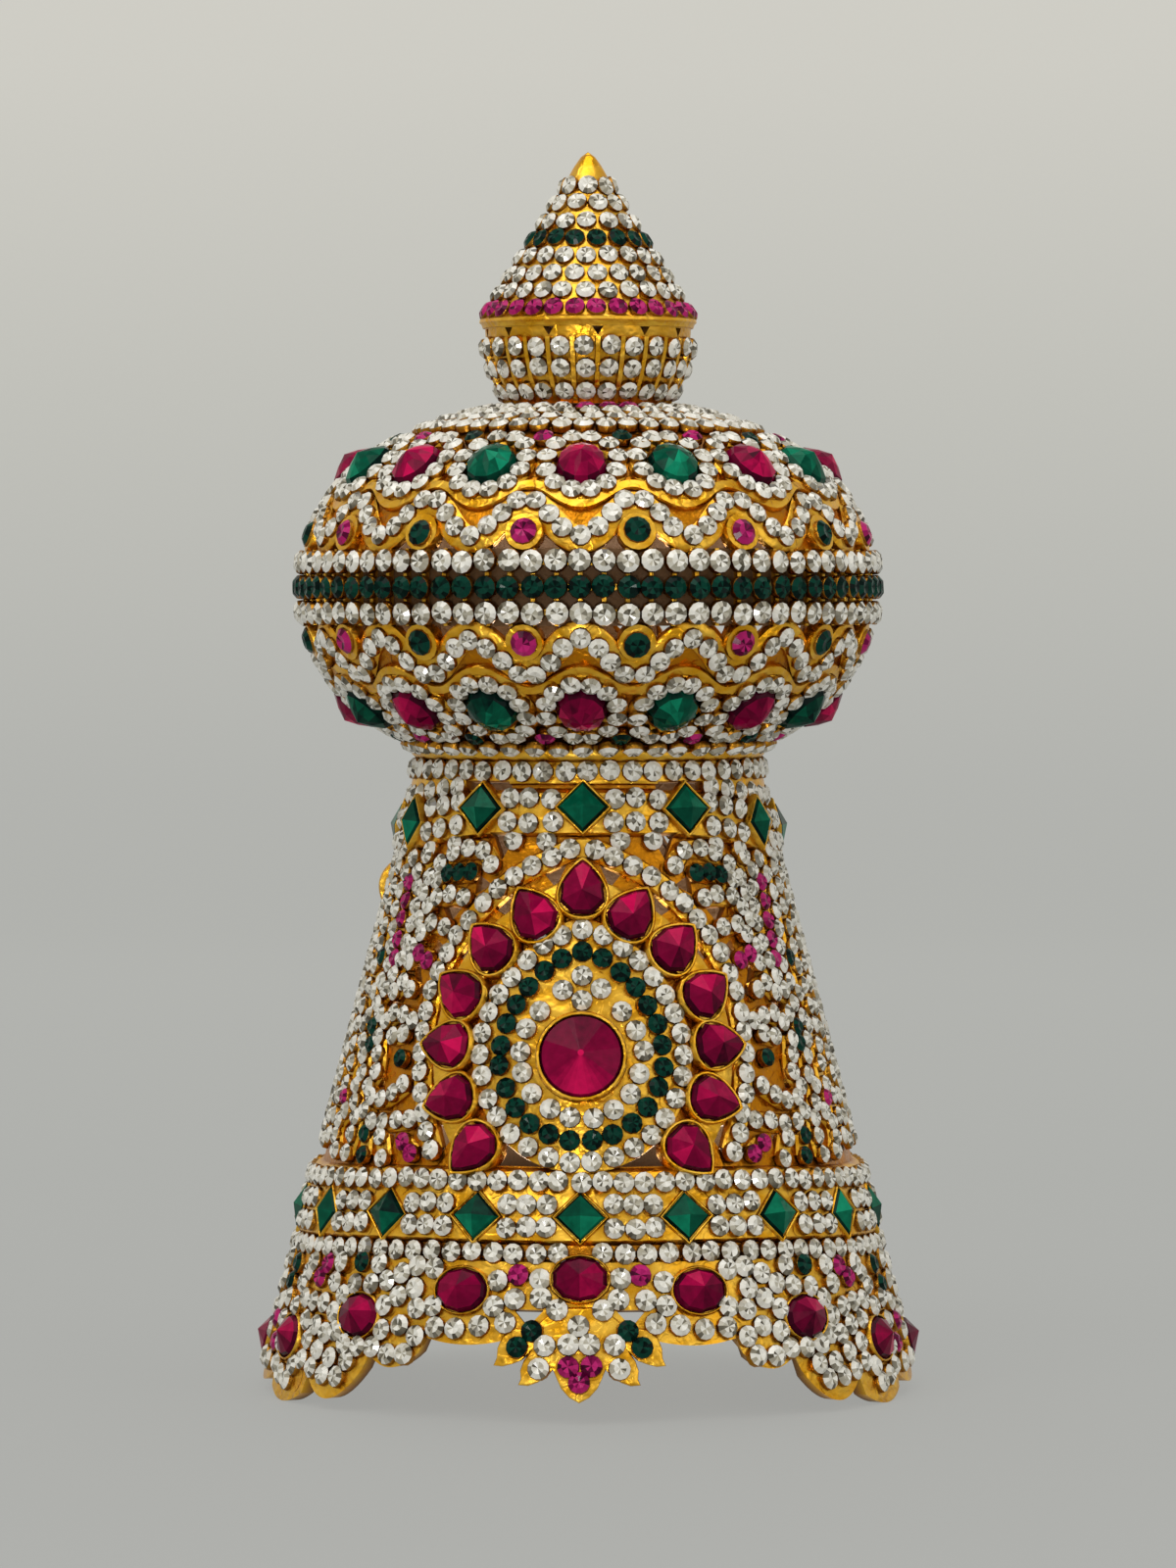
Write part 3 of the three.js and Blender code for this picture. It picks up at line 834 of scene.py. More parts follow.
@dataclass
class ChatonSet:
    """Small round stones of one sub-assembly, each in a gold cup."""

    name: str
    wall: RoundWall
    size: float = 3.0
    sides: int = 12
    girdle: float = 0.34
    table: float = 0.58
    crown: float = 0.34
    dish: float = 0.12
    cup: Line = ((0.84, -0.3), (1.05, -0.3), (1.05, 0.2), (0.99, 0.33))
    # painted shade on the cups: how much of the recess colour and of the dark shade colour they take, so each
    # stone gets a dark outline
    cup_recess: float = 0.7
    cup_shade: float = 0.4
    slip: float = 0.1
    tip: float = 0.05
    # painted reflections on the small stones' facets: ranges of the light, grey and deep facets, and the
    # shares of the first two
    light: Spot = (0.76, 1.0)
    grey: Spot = (0.32, 0.6)
    deep: Spot = (0.0, 0.22)
    light_share: float = 0.56
    grey_share: float = 0.24
    places: dict[Gem, list[Matrix]] = field(default_factory=dict)

    def add(self, place: Matrix, gem: Gem = Gem.CRYSTAL, scale: float = 1.0) -> None:
        """Sets one stone in a frame, shifted, turned and tipped a little at random.

        Args:
            place: frame under the stone.
            gem: kind of glass.
            scale: size against the other stones.
        """
        shift = Matrix.Translation((RNG.normal(0, self.slip), RNG.normal(0, self.slip), 0))
        turn = Matrix.Rotation(RNG.uniform(0, math.tau), 4, "Z")
        tip = Matrix.Rotation(RNG.normal(0, self.tip), 4, "X")
        size = Matrix.Scale(scale * self.size / 2, 4)
        self.places.setdefault(gem, []).append(place @ shift @ turn @ tip @ size)

    def at(self, angle: float, z: float, lift: float, gem: Gem = Gem.CRYSTAL, scale: float = 1.0) -> None:
        """Sets one stone on the wall."""
        self.add(self.wall.frame(angle, z, 0, lift), gem, scale)

    def row(self, z: float, count: int, lift: float, gem: Gem = Gem.CRYSTAL, start: float = 0.0) -> None:
        """Sets a level row round the whole wall."""
        for angle in round_angles(count):
            self.at(start + angle, z, lift, gem)

    def grow(self, vines: Iterable[Vine], lift: float, back: bool = False) -> None:
        """Sets vines and their mirror images.

        Args:
            vines: vines of one side.
            lift: distance off the wall.
            back: whether they repeat behind.
        """
        for vine in vines:
            for angle, z in vine.spots(self.wall):
                for side in mirrored(angle, back):
                    self.at(side, z, lift, vine.gem)

    def stone(self) -> Solid:
        """Cut of one stone.

        Returns:
            The stone, of unit radius.
        """
        bm = bmesh.new()
        bmesh.ops.create_cone(
            bm, cap_ends=True, segments=self.sides, radius1=1.0, radius2=self.table, depth=self.crown
        )
        bmesh.ops.translate(bm, vec=(0, 0, self.girdle + self.crown / 2), verts=bm.verts)
        top = max(bm.faces, key=lambda face: face.calc_center_median().z)
        bmesh.ops.poke(bm, faces=[top], offset=-self.dish)
        return bm

    def build(self) -> None:
        """Adds the stones of each kind, and all their cups, as pieces."""
        for gem, places in self.places.items():
            name = f"{self.name}_{gem.value}"
            mesh = repeated(self.stone(), places, name)
            mesh.shade_flat()
            # painted reflections: each facet is picked light, grey or deep at random
            spans = (self.light, self.grey, self.deep, UNIT)
            light, grey, deep, pick = (RNG.uniform(*span, len(mesh.polygons)) for span in spans)
            rest = np.where(pick < self.light_share + self.grey_share, grey, deep)
            mark(mesh, "facet_light", np.where(pick < self.light_share, light, rest), "FACE")
            add_piece(name, mesh, GLASS[gem])
        everywhere = [place for places in self.places.values() for place in places]
        cups = repeated(revolve(self.cup, self.sides), everywhere, f"{self.name}_cups")
        # painted shade on every cup
        mark(cups, "recess", np.full(len(cups.vertices), self.cup_recess))
        mark(cups, "painted_shade", np.full(len(cups.vertices), self.cup_shade))
        cups.shade_smooth()
        cups.set_sharp_from_angle(angle=SHARP)
        add_piece(f"{self.name}_cups", cups, GOLD)


@dataclass(frozen=True)
class StoneCut:
    """Size and cut of one kind of large stone: a steep edge, then facets that rise to a point."""

    outline: Cut
    gem: Gem
    width: float
    height: float
    depth: float
    facets: int
    shoulder: float = 0.86
    edge: float = 0.35
    tip: float = 0.0
    star: float = 0.0
    culet: float = 0.0
    waist: float = 0.81
    # painted light on the facets: base level and brightening towards the lead, darkening on the far side,
    # painted shade of the steep edge, the lead's range and random glints
    flash: Spot = (0.42, 0.3)
    far_flash: float = 0.4
    edge_shade: float = 0.36
    lead: Spot = (0.0, math.tau)
    sparkle: float = 0.13
    clearance: float = 0.05
    rim_steps: int = 28

    def edge_at(self, turn: float, margin: float = 0.0) -> Vector:
        """Point of the outline at a clockwise turn from the top.

        Args:
            turn: angle in radians.
            margin: distance outside the outline.

        Returns:
            The point, flat on the stone's base.
        """
        across, up = math.sin(turn), math.cos(turn)
        if self.outline is Cut.SQUARE:
            reach = (self.width / 2 + margin * math.sqrt(2)) / (abs(across) + abs(up))
            return Vector((reach * across, reach * up, 0))
        stretch = 1.0
        if self.outline is Cut.PEAR:
            across *= abs(math.sin(turn / 2)) ** 0.75 / self.waist
            stretch = 1.2
        return Vector(((self.width / 2 + margin) * across, (self.height / 2 + stretch * margin) * up, 0))

    def solid(self) -> Solid:
        """Cut stone on its base.

        Returns:
            The stone.
        """
        bm = bmesh.new()
        steep = self.edge * self.depth
        rings = [(1.0, 0.0, 0.0), (self.shoulder, steep, 0.0)]
        if self.star:
            rings.append((self.star, steep + (self.depth - steep) * (1.1 - self.star / self.shoulder), 0.5))
        for reach, z, start in rings:
            for i in range(self.facets):
                bm.verts.new(reach * self.edge_at(math.tau * (i + start) / self.facets) + Vector((0, 0, z)))
        point = bm.verts.new((0, self.tip * self.height, self.depth))
        bmesh.ops.convex_hull(bm, input=bm.verts)
        bmesh.ops.delete(bm, geom=[vert for vert in bm.verts if not vert.link_faces], context="VERTS")
        bmesh.ops.dissolve_limit(bm, angle_limit=math.radians(1.5), verts=bm.verts, edges=bm.edges)
        if self.culet:
            bmesh.ops.bevel(
                bm, geom=[point], offset=self.culet, offset_type="OFFSET", segments=1, profile=0.5,
                affect="VERTICES", material=-1,
            )
        bmesh.ops.recalc_face_normals(bm, faces=bm.faces)
        return bm

    def shaped(self, place: Matrix) -> Solid:
        """Cut stone standing in a frame, with painted light on each facet.

        Args:
            place: frame of the stone's base, in millimetres.

        Returns:
            The stone.
        """
        bm = self.solid()
        facet_light = bm.faces.layers.float.new("facet_light")
        # painted light: facets turned towards the lead are brighter, steep edge facets get painted shade and
        # the culet a painted highlight
        lead = RNG.uniform(*self.lead)
        for face in bm.faces:
            centre = face.calc_center_median()
            toward = math.cos(math.atan2(centre.x, centre.y) - lead) ** 3
            level = self.flash[0] + self.flash[1] * (toward if toward > 0 else self.far_flash * toward)
            shade = self.edge_shade if centre.z < self.edge * self.depth else 0.0
            level += RNG.normal(0, self.sparkle) - shade
            face[facet_light] = 1.0 if centre.xy.length < self.culet else min(max(level, 0.0), 1.0)
        bmesh.ops.transform(bm, matrix=place, verts=bm.verts)
        return bm

    def add(self, name: str, places: Sequence[Matrix], *nodes: str) -> None:
        """Adds stones of this cut as one piece.

        Args:
            name: name of the piece.
            places: frames of the stones' bases.
            nodes: CAD nodes that the piece stands for.
        """
        mesh = joined([self.shaped(place) for place in places], name)
        mesh.shade_flat()
        add_piece(name, mesh, GLASS[self.gem], *nodes)

    def bezel(self, place: Matrix, low: float, high: float, lip: float) -> Solid:
        """Gold rim round a stone.

        Args:
            place: frame on the wall under the stone.
            low: depth that the rim is sunk to.
            high: height of the rim.
            lip: width of the rim.

        Returns:
            The rim.
        """
        half = lip / 2
        turns = [-math.tau * i / self.rim_steps for i in range(self.rim_steps)]
        spots = [self.edge_at(turn, self.clearance + half) for turn in turns]
        frames = turned_along([place @ Matrix.Translation(spot) for spot in spots], closed=True)
        rim = [(-half, low), (half, low), (half, high - 0.3), (half - 0.22, high)]
        return sweep(frames, [*rim, (0.12 - half, high), (-half, high - 0.1)], closed=True)


@dataclass(frozen=True)
class Gap:
    """Pierced gap of the skirt; one marked back repeats behind."""

    shape: GapShape
    angle: float
    z: float
    width: float
    height: float
    turn: float = 0.0
    back: bool = False

    def cutters(self, wall: RoundWall) -> list[Solid]:
        """Solids that cut the gap wherever it stands.

        Args:
            wall: wall that it is cut from.

        Returns:
            The solids.
        """
        outline = [(x * self.width, y * self.height) for x, y in self.shape.value]
        angles = mirrored(self.angle, self.back)
        turns = [math.copysign(self.turn, math.sin(math.radians(angle))) for angle in angles]
        return [prism(outline, wall.frame(angle, self.z, turn)) for angle, turn in zip(angles, turns)]


@dataclass(frozen=True)
class Band:
    """Raised band of the skirt, which sags towards the sides, with square stones and crystals in pairs."""

    low: float
    high: float
    sag: float
    count: int
    square_z: float
    bed: float
    shares: tuple[float, ...]
    pair: Spot
    rise: float = 0.5

    def z_at(self, angle: float, z: float) -> float:
        """Height of a level line of the band at an angle."""
        return z - self.sag * math.sin(math.radians(angle)) ** 4

    def squares(self, wall: RoundWall) -> list[tuple[float, Matrix]]:
        """Angles and frames of the square stones."""
        spots = [(angle, self.z_at(angle, self.square_z)) for angle in round_angles(self.count)]
        return [(angle, wall.frame(angle, z, 0, self.bed)) for angle, z in spots]

    def set_pairs(self, stones: ChatonSet, angle: float) -> None:
        """Sets the crystals between one square stone and the next.

        Args:
            stones: stones to add to.
            angle: angle of the first square stone.
        """
        for share in self.shares:
            beside = angle + share * 360 / self.count
            for z in self.pair:
                stones.at(beside, self.z_at(beside, z), self.rise)


LOWER_BAND = Band(26.3, 36.7, 2.0, 17, 29.9, 0.3, (0.31, 0.5, 0.69), (31.6, 28.2))
COLLAR_BAND = Band(86.2, 92.8, 4.0, 11, 90.2, 1.1, (0.29, 0.5, 0.71), (91.5, 88.0))


@dataclass(frozen=True)
class Lobe:
    """Lobe of the scalloped rim."""

    angle: float
    half: float
    low: float
    rise: float


@dataclass
class Skirt:
    """Flared wall with its raised bands, recessed fields, scalloped rim and gaps."""

    wall: SkirtWall
    thickness: float = 2.2
    recess: float = 0.7
    columns: int = 360
    rim_fade: float = 18.0
    lower_fade: tuple[float, ...] = (18, 24, 38, 44)
    collar_fade: tuple[float, ...] = (78, 85, 94, 98)
    foot: Line = ((0.0, 0.0), (0.0, 6.0), (0.0, 12.0), (0.0, 18.0), (0.0, 23.4))
    top: Line = ((0.1, 93.9), (0.25, 94.3), (0.25, 97.0), (0.0, 97.4))
    field_rows: tuple[float, ...] = (44.0, 52.0, 60.0, 68.0, 78.0, 85.8)
    inner_rows: tuple[float, ...] = (97.4, 85.0, 60.0, 36.0, 18.0, 9.0, 0.0)
    lobes: tuple[Lobe, ...] = (
        Lobe(0, 13, 11.9, 1.0), Lobe(21.5, 8.5, 11.2, 1.0), Lobe(36, 6, 7.2, 2.5),
        Lobe(50.5, 8.5, 1.6, 5.0), Lobe(65, 8.5, 0.0, 2.5), Lobe(81, 9, 1.7, 2.5),
    )

    def rim_z(self, angle: float) -> float:
        """Height of the rim.

        Args:
            angle: degrees from the front.

        Returns:
            The height.
        """
        folded = abs((angle + 180) % 360 - 180)
        folded = min(folded, 180 - folded)
        lobe = min(self.lobes, key=lambda item: abs(folded - item.angle) / item.half)
        part = (folded - lobe.angle) / lobe.half
        return lobe.low + lobe.rise * part * part

    def settled(self, angle: float, z: float) -> float:
        """Height of a line of the plain wall once the rim and the bands have their shape.

        Args:
            angle: degrees from the front.
            z: height on the plain wall.

        Returns:
            The height.
        """
        if z < self.rim_fade:
            rim = self.rim_z(angle)
            return rim + z / self.rim_fade * (self.rim_fade - rim)
        lower, upper = (np.interp(z, fade, (0, 1, 1, 0)) for fade in (self.lower_fade, self.collar_fade))
        drop = lower * LOWER_BAND.sag + upper * COLLAR_BAND.sag
        return float(z - drop * math.sin(math.radians(angle)) ** 4)

    def profile(self) -> list[Spot]:
        """Section of the wall.

        Returns:
            Lifts and heights, up the outer face and down the inner one.
        """
        floor = -self.recess
        outer = [*self.foot, (floor, 23.8), (floor, 25.8)]
        for band, rows in ((LOWER_BAND, self.field_rows), (COLLAR_BAND, (93.6,))):
            outer += [(0.15, band.low), (band.rise, band.low + 0.35), (band.rise, band.high - 0.35)]
            outer += [(0.15, band.high), (floor, band.high + 0.35)]
            outer += [(floor, z) for z in rows]
        return [*outer, *self.top, *((-self.thickness, z) for z in self.inner_rows)]

    def build(self, gaps: Sequence[Solid]) -> None:
        """Adds the pierced wall.

        Args:
            gaps: solids that cut the gaps; they are freed.
        """
        bm = revolve([(self.wall.radius(z) + lift, z) for lift, z in self.profile()], self.columns)
        for vert in bm.verts:
            lift = self.wall.lift_of(vert.co)
            angle = math.degrees(math.atan2(vert.co.x, -vert.co.y))
            z = self.settled(angle, vert.co.z)
            vert.co = spot_at(angle, self.wall.radius(z) + lift, z)
        bmesh.ops.recalc_face_normals(bm, faces=bm.faces)
        add_gold("skirt_casting", self.wall, [bm], "skirt_wall", depth=self.thickness, gaps=gaps)


@dataclass
class Medallion:
    """Front medallion: pointed rings round the middle stone, pear stones in an arch, and the arch's rib."""

    wall: SkirtWall
    z: float = 53.2
    disc: float = 16.9
    point: float = 1.22
    disc_steps: int = 64
    disc_rise: float = 0.45
    # painted light: the middle stone's facets brighten towards its bottom
    middle: StoneCut = StoneCut(
        Cut.OVAL, Gem.RUBY, 12.4, 12.4, 3.4, 32, shoulder=0.95, edge=0.3, culet=0.5, flash=(0.42, 0.5),
        lead=(math.pi, math.pi), sparkle=0.02,
    )
    pear: StoneCut = StoneCut(
        Cut.PEAR, Gem.RUBY, 7.0, 8.4, 2.3, 9, shoulder=0.88, tip=-0.08, flash=(0.42, 0.42), sparkle=0.1,
    )
    bed: float = 1.4
    pears: Line = ((0, 0), (18.4, 34), (39.6, 46), (62.5, 55), (84.6, 90), (106.5, 107), (129, 140))
    pear_reach: float = 21.0
    pear_peak: float = 4.5
    pear_fade: float = 22.0
    pear_drop: float = 0.7
    web_width: float = 4.8
    web_rise: float = 1.2
    size: float = 3.1
    rings: tuple[tuple[float, float, int, Gem], ...] = (
        (15.4, 1.215, 31, Gem.CRYSTAL), (12.25, 1.26, 25, Gem.DARK_GREEN), (9.05, 1.0, 17, Gem.CRYSTAL),
    )
    inner_ring: float = 10.0
    inner_skip: tuple[int, ...] = (0, 1, 16)
    extras: tuple[Vine, ...] = (crystals(1, (0, 65.1)), crystals(1, (0, 61.5)), crystals(1, (4.8, 63.1)))
    arch: Vine = crystals(
        19, (3.5, 84), (19.5, 80), (31.5, 74), (40, 65.5), (41.5, 57), (39, 47.5), (33.5, 39),
    )
    arch_width: float = 3.5
    arch_rise: float = 0.25
    pear_gap: Line = ((-2.5, -2.1), (2.5, -2.1), (0, 2.1))
    pear_gap_reach: float = 1.15
    foot_gap: Line = ((9.0, 39.8), (10.9, 41.0), (12.2, 39.8), (13.2, 37.2), (5.1, 37.2))

    def spot(self, across: float, up: float) -> Spot:
        """Angle and height at an arc distance and a rise from the medallion's middle."""
        z = self.z + up
        return math.degrees(across / self.wall.radius(z)), z

    def frame(self, across: float, up: float, turn: float = 0.0, lift: float = 0.0) -> Matrix:
        """Frame on the wall at an arc distance and a rise from the medallion's middle."""
        return self.wall.frame(*self.spot(across, up), turn, lift)

    def pear_spot(self, polar: float, share: float = 1.0) -> Spot:
        """Arc distance and rise on the pear stones' arch.

        Args:
            polar: clockwise angle round the medallion, in degrees.
            share: distance against the arch's own.

        Returns:
            The arc distance and the rise.
        """
        reach = share * (self.pear_reach + self.pear_peak * math.exp(-abs(polar) / self.pear_fade))
        turn = math.radians(polar)
        return reach * math.sin(turn), reach * math.cos(turn)

    def pear_frames(self, lift: float) -> list[Matrix]:
        """Frames of the pear stones.

        Args:
            lift: distance off the wall.

        Returns:
            The frames, in the order of the stones' nodes.
        """
        frames = []
        for polar, turn in self.pears:
            for side in (1,) if polar == 0 else (-1, 1):
                across, up = self.pear_spot(side * polar)
                frames.append(self.frame(across, up - self.pear_drop, side * turn, lift))
        return frames

    def drawn(self, radius: float, point: float, turn: float) -> Spot:
        """Spot of a ring that is drawn up to a point, as an arc distance and a rise."""
        stretch = 1 + (point - 1) * max(0.0, math.cos(turn)) ** 5
        return radius * math.sin(turn), radius * stretch * math.cos(turn)

    def gaps(self) -> list[Solid]:
        """Solids that cut the gaps between the pear stones and at the foot.

        Returns:
            The solids.
        """
        solids = []
        for (first, _), (second, _) in zip(self.pears, self.pears[1:]):
            polar = (first + second) / 2
            for side in (-1, 1):
                spot = self.pear_spot(side * polar, self.pear_gap_reach)
                solids.append(prism(self.pear_gap, self.frame(*spot, side * (polar + 180))))
        for side in (-1, 1):
            outline = [(side * across, z) for across, z in self.foot_gap]
            solids.append(wrapped(prism(outline), self.wall))
        return solids

    def build_gold(self) -> None:
        """Adds the disc, the bezels, the web under the pear stones and the arch's rib."""
        turns = [-math.tau * i / self.disc_steps for i in range(self.disc_steps)]
        outline = [(x, self.z + y) for x, y in (self.drawn(self.disc, self.point, turn) for turn in turns)]
        web = [self.pear_spot(polar) for polar in range(-134, 135, 4)]
        half = self.arch.spots(self.wall)
        arch = [(-angle, z) for angle, z in half[::-1]] + half
        add_gold("medallion_casting", self.wall, [
            bent_plate(self.wall, outline, RIB_FOOT, self.disc_rise, 0.3),
            self.middle.bezel(self.frame(0, 0), -0.8, 2.0, 0.65),
            *(self.pear.bezel(place, -1.0, 1.6, 0.55) for place in self.pear_frames(0)),
            rib(self.wall, [self.spot(x, y - self.pear_drop) for x, y in web], self.web_width, self.web_rise),
            rib(self.wall, smooth_line(arch, 3), self.arch_width, self.arch_rise),
        ])

    def build(self) -> None:
        """Adds the medallion's gold and stones."""
        self.build_gold()
        stones = ChatonSet("medallion", self.wall, self.size)
        for radius, point, count, gem in self.rings:
            line = np.array([self.drawn(radius, point, turn) for turn in np.linspace(0, math.tau, 721)])
            for i, spot in enumerate(evenly(line, line, count, closed=True)):
                if radius > self.inner_ring or i not in self.inner_skip:
                    stones.add(self.frame(*spot, 0, self.disc_rise), gem)
        stones.grow(self.extras, self.disc_rise)
        stones.grow([self.arch], self.arch_rise)
        stones.build()
        self.middle.add("medallion_ruby_cut", [self.frame(0, 0, 0, self.bed)], "medallion_ruby")
        for i, place in enumerate(self.pear_frames(self.bed), 1):
            self.pear.add(f"pear_ruby_cut_{i:02d}", [place], f"pear_ruby_{i:02d}")


@dataclass
class SideFields:
    """Pierced fields beside the medallion and round the back, with their vines of stones."""

    wall: SkirtWall
    vines: tuple[Vine, ...] = (
        crystals(6, (28, 81.5), (33, 84), (43.5, 83), (51.5, 79.5)),
        crystals(4, (36, 76.5), (42, 77), (46, 76.5), (48, 79)),
        greens(3, (34.5, 80.5), (43.5, 80)),
        crystals(11, (55, 82.5), (58, 80), (55.5, 76.5), (55, 71.5), (57, 66), (61, 62), (67, 58)),
        crystals(6, (52.5, 77), (49, 74.5), (52, 73), (49.5, 71), (52.5, 69.5), (52, 66.5)),
        pinks(5, (61.5, 78.5), (60, 67)),
        crystals(9, (63, 82), (67, 78.5), (66, 73), (62.5, 65.5), (68, 61.5)),
        greens(1, (68, 67)),
        crystals(13, (71.5, 83.5), (73.5, 79.5), (72.5, 66), (75, 57), (72, 51.5), (71.5, 47.5)),
        crystals(2, (46, 72.5), (41, 72)),
        pinks(2, (49, 68), (45, 67)),
        crystals(3, (56.5, 62), (53, 63.5), (49.5, 62.5)),
        crystals(5, (60.5, 58.5), (56.5, 57.5), (53, 59), (46, 58)),
        crystals(2, (52.5, 55.5), (48.5, 56)),
        greens(1, (48, 52.5)),
        crystals(8, (59, 55), (56.5, 50), (58.5, 47), (51.5, 46), (45, 48.5)),
        greens(2, (63, 56.5), (62, 54)),
        crystals(9, (69.5, 56.5), (66, 53.5), (63, 49), (65, 47), (61, 42.5), (61.5, 37.5)),
        pinks(1, (70, 45.5)),
        crystals(4, (67, 43.5), (70.5, 41), (68, 37.5)),
        crystals(5, (57.5, 44), (53, 42.5), (41, 43.5)),
        greens(2, (55.5, 40.5), (54.5, 37.5)),
        crystals(2, (49.5, 40.5), (47.5, 37.5)),
        pinks(2, (42, 40), (39, 38.5)),
        crystals(3, (75, 45.5), (75, 39.5)),
    )
    gap_list: tuple[Gap, ...] = (
        Gap(GapShape.SLOT, 33, 93.5, 8.0, 1.3, back=True),
        Gap(GapShape.TRIANGLE, 25.6, 84.4, 4.0, 4.0, 180, back=True),
        Gap(GapShape.TRIANGLE, 32, 78.4, 3.4, 2.8, 150),
        Gap(GapShape.TRIANGLE, 41, 74.0, 4.2, 2.8, 180),
        Gap(GapShape.TRIANGLE, 44, 69.4, 3.4, 2.4, 20),
        Gap(GapShape.SLOT, 49, 64.2, 1.4, 5.0, 25),
        Gap(GapShape.TRIANGLE, 58, 60.8, 3.8, 2.4),
        Gap(GapShape.SLOT, 55.3, 50.0, 1.6, 4.6),
        Gap(GapShape.SLOT, 76, 55.0, 1.6, 4.6),
        Gap(GapShape.SLOT, 47.2, 39.3, 1.6, 4.0, back=True),
        Gap(GapShape.SLOT, 54.6, 39.3, 1.6, 4.0, back=True),
        Gap(GapShape.TRIANGLE, 9.4, 15.3, 4.6, 2.6, 180),
    )
    columns: tuple[float, ...] = (79.4, 84.6, 90.0, 142.8, 148.5, 154.2, 159.9, 165.6, 171.3, 177.0)
    clearance: float = 2.6
    low: float = 38.6
    high: float = 82.6
    rows: int = 14
    size: float = 2.85
    rib_width: float = 3.1
    lug: tuple[float, float, float, float] = (-90.0, 74.0, 81.6, 2.1)
    lug_section: Line = ((-1.1, -2.4), (1.1, -2.4), (1.0, 0.2), (0.5, 0.5), (-0.5, 0.5), (-1.0, 0.2))
    lug_sink: float = 0.6

    def gaps(self) -> list[Solid]:
        """Solids that cut the gaps of the fields."""
        return [solid for gap in self.gap_list for solid in gap.cutters(self.wall)]

    def is_clear(self, spot: Spot, taken: Sequence[Vector]) -> bool:
        """Whether a stone at a spot keeps clear of those already placed."""
        here = self.wall.frame(*spot).translation
        return all((here - other).length > self.clearance for other in taken)

    def lines(self) -> list[tuple[Gem, list[Spot]]]:
        """Every line of stones all round the crown.

        Returns:
            The kind and the spots of each line.
        """
        found = []
        for vine in self.vines:
            spots = vine.spots(self.wall)
            for side in (1, -1):
                found.append((vine.gem, [(side * angle, z) for angle, z in spots]))
                found.append((vine.gem, [(180 - side * angle, z) for angle, z in spots]))
        taken = [self.wall.frame(*spot).translation for _, spots in found for spot in spots]
        heights = np.linspace(self.low, self.high, self.rows)
        for number, angle in enumerate(self.columns):
            column = (heights[1:] + heights[:-1]) / 2 if number % 2 else heights
            for place in mirrored(angle, back=angle < 90):
                spots = [(place, float(z)) for z in column]
                found.append((Gem.CRYSTAL, [spot for spot in spots if self.is_clear(spot, taken)]))
        return found

    def lug_arc(self) -> Solid:
        """Smooth gold arc that stands off the wall at one side.

        Returns:
            The arc.
        """
        angle, low, high, rise = self.lug
        frames = []
        for part in np.linspace(0, 1, 13):
            lift = rise * math.sin(math.pi * part) ** 0.7 - self.lug_sink
            frames.append(self.wall.frame(angle, low + part * (high - low), 0, lift))
        return sweep(frames, self.lug_section)

    def build(self) -> None:
        """Adds the ribs and their stones."""
        stones = ChatonSet("field", self.wall, self.size)
        ribs = []
        for gem, spots in self.lines():
            for angle, z in spots:
                stones.at(angle, z, 0.0, gem)
            if len(spots) > 1:
                ribs.append(rib(self.wall, smooth_line(spots, 2), self.rib_width, 0.0))
        add_gold("field_ribs", self.wall, [*ribs, self.lug_arc()])
        stones.build()


@dataclass
class Bands:
    """Stones of the lower band and of the collar."""

    wall: SkirtWall
    square: StoneCut = StoneCut(
        Cut.SQUARE, Gem.EMERALD, 7.5, 7.5, 1.9, 8, flash=(0.44, 0.34), sparkle=0.15,
    )
    lip: float = 0.45
    size: float = 3.1
    row_count: int = 84
    row_z: float = 35.0
    under_z: float = 24.7
    under_sink: float = -0.2
    drop_turn: float = 4.0
    foot_z: float = 85.4
    foot_turn: float = 11.0
    foot_sink: float = -0.3
    top_z: float = 95.6
    top_count: int = 51
    top_rise: float = 0.25
    top_start: float = 1.4
    side_z: float = 93.6
    side_sag: float = 2.2
    side_sink: float = -0.2

    def build(self) -> None:
        """Adds the square stones, their thin rims and the rows of crystals."""
        stones = ChatonSet("band", self.wall, self.size)
        self.lower(stones)
        self.collar(stones)
        stones.build()

    def lower(self, stones: ChatonSet) -> None:
        """Sets the lower band.

        Args:
            stones: small stones, added to.
        """
        band = LOWER_BAND
        squares = band.squares(self.wall)
        for angle, _ in squares:
            band.set_pairs(stones, angle)
        for angle in round_angles(self.row_count):
            stones.at(angle, band.z_at(angle, self.row_z), band.rise)
            if abs((angle + 180) % 360 - 180) > self.drop_turn:
                stones.at(angle, band.z_at(angle, self.under_z), self.under_sink)
        places = [place for _, place in squares]
        self.square.add("band_emeralds", places)
        add_gold("band_rims", self.wall, [self.square.bezel(place, -0.8, 0.5, self.lip) for place in places])

    def collar(self, stones: ChatonSet) -> None:
        """Sets the collar.

        Args:
            stones: small stones, added to.
        """
        band = COLLAR_BAND
        rims = []
        for i, (angle, place) in enumerate(band.squares(self.wall), 1):
            self.square.add(f"collar_emerald_cut_{i:02d}", [place], f"collar_emerald_{i:02d}")
            rims.append(self.square.bezel(place, -1.4, 0.4, self.lip))
            band.set_pairs(stones, angle)
            for beside in (angle + self.foot_turn, angle + 360 / band.count - self.foot_turn):
                stones.at(beside, band.z_at(beside, self.foot_z), self.foot_sink)
        stones.row(self.top_z, self.top_count, self.top_rise, start=self.top_start)
        for angle in np.arange(45.0, 91, 7.5):
            for side in mirrored(angle, back=True):
                z = self.side_z - self.side_sag * math.sin(math.radians(side)) ** 4
                stones.at(side, z, self.side_sink)
        add_gold("collar_rims", self.wall, rims)


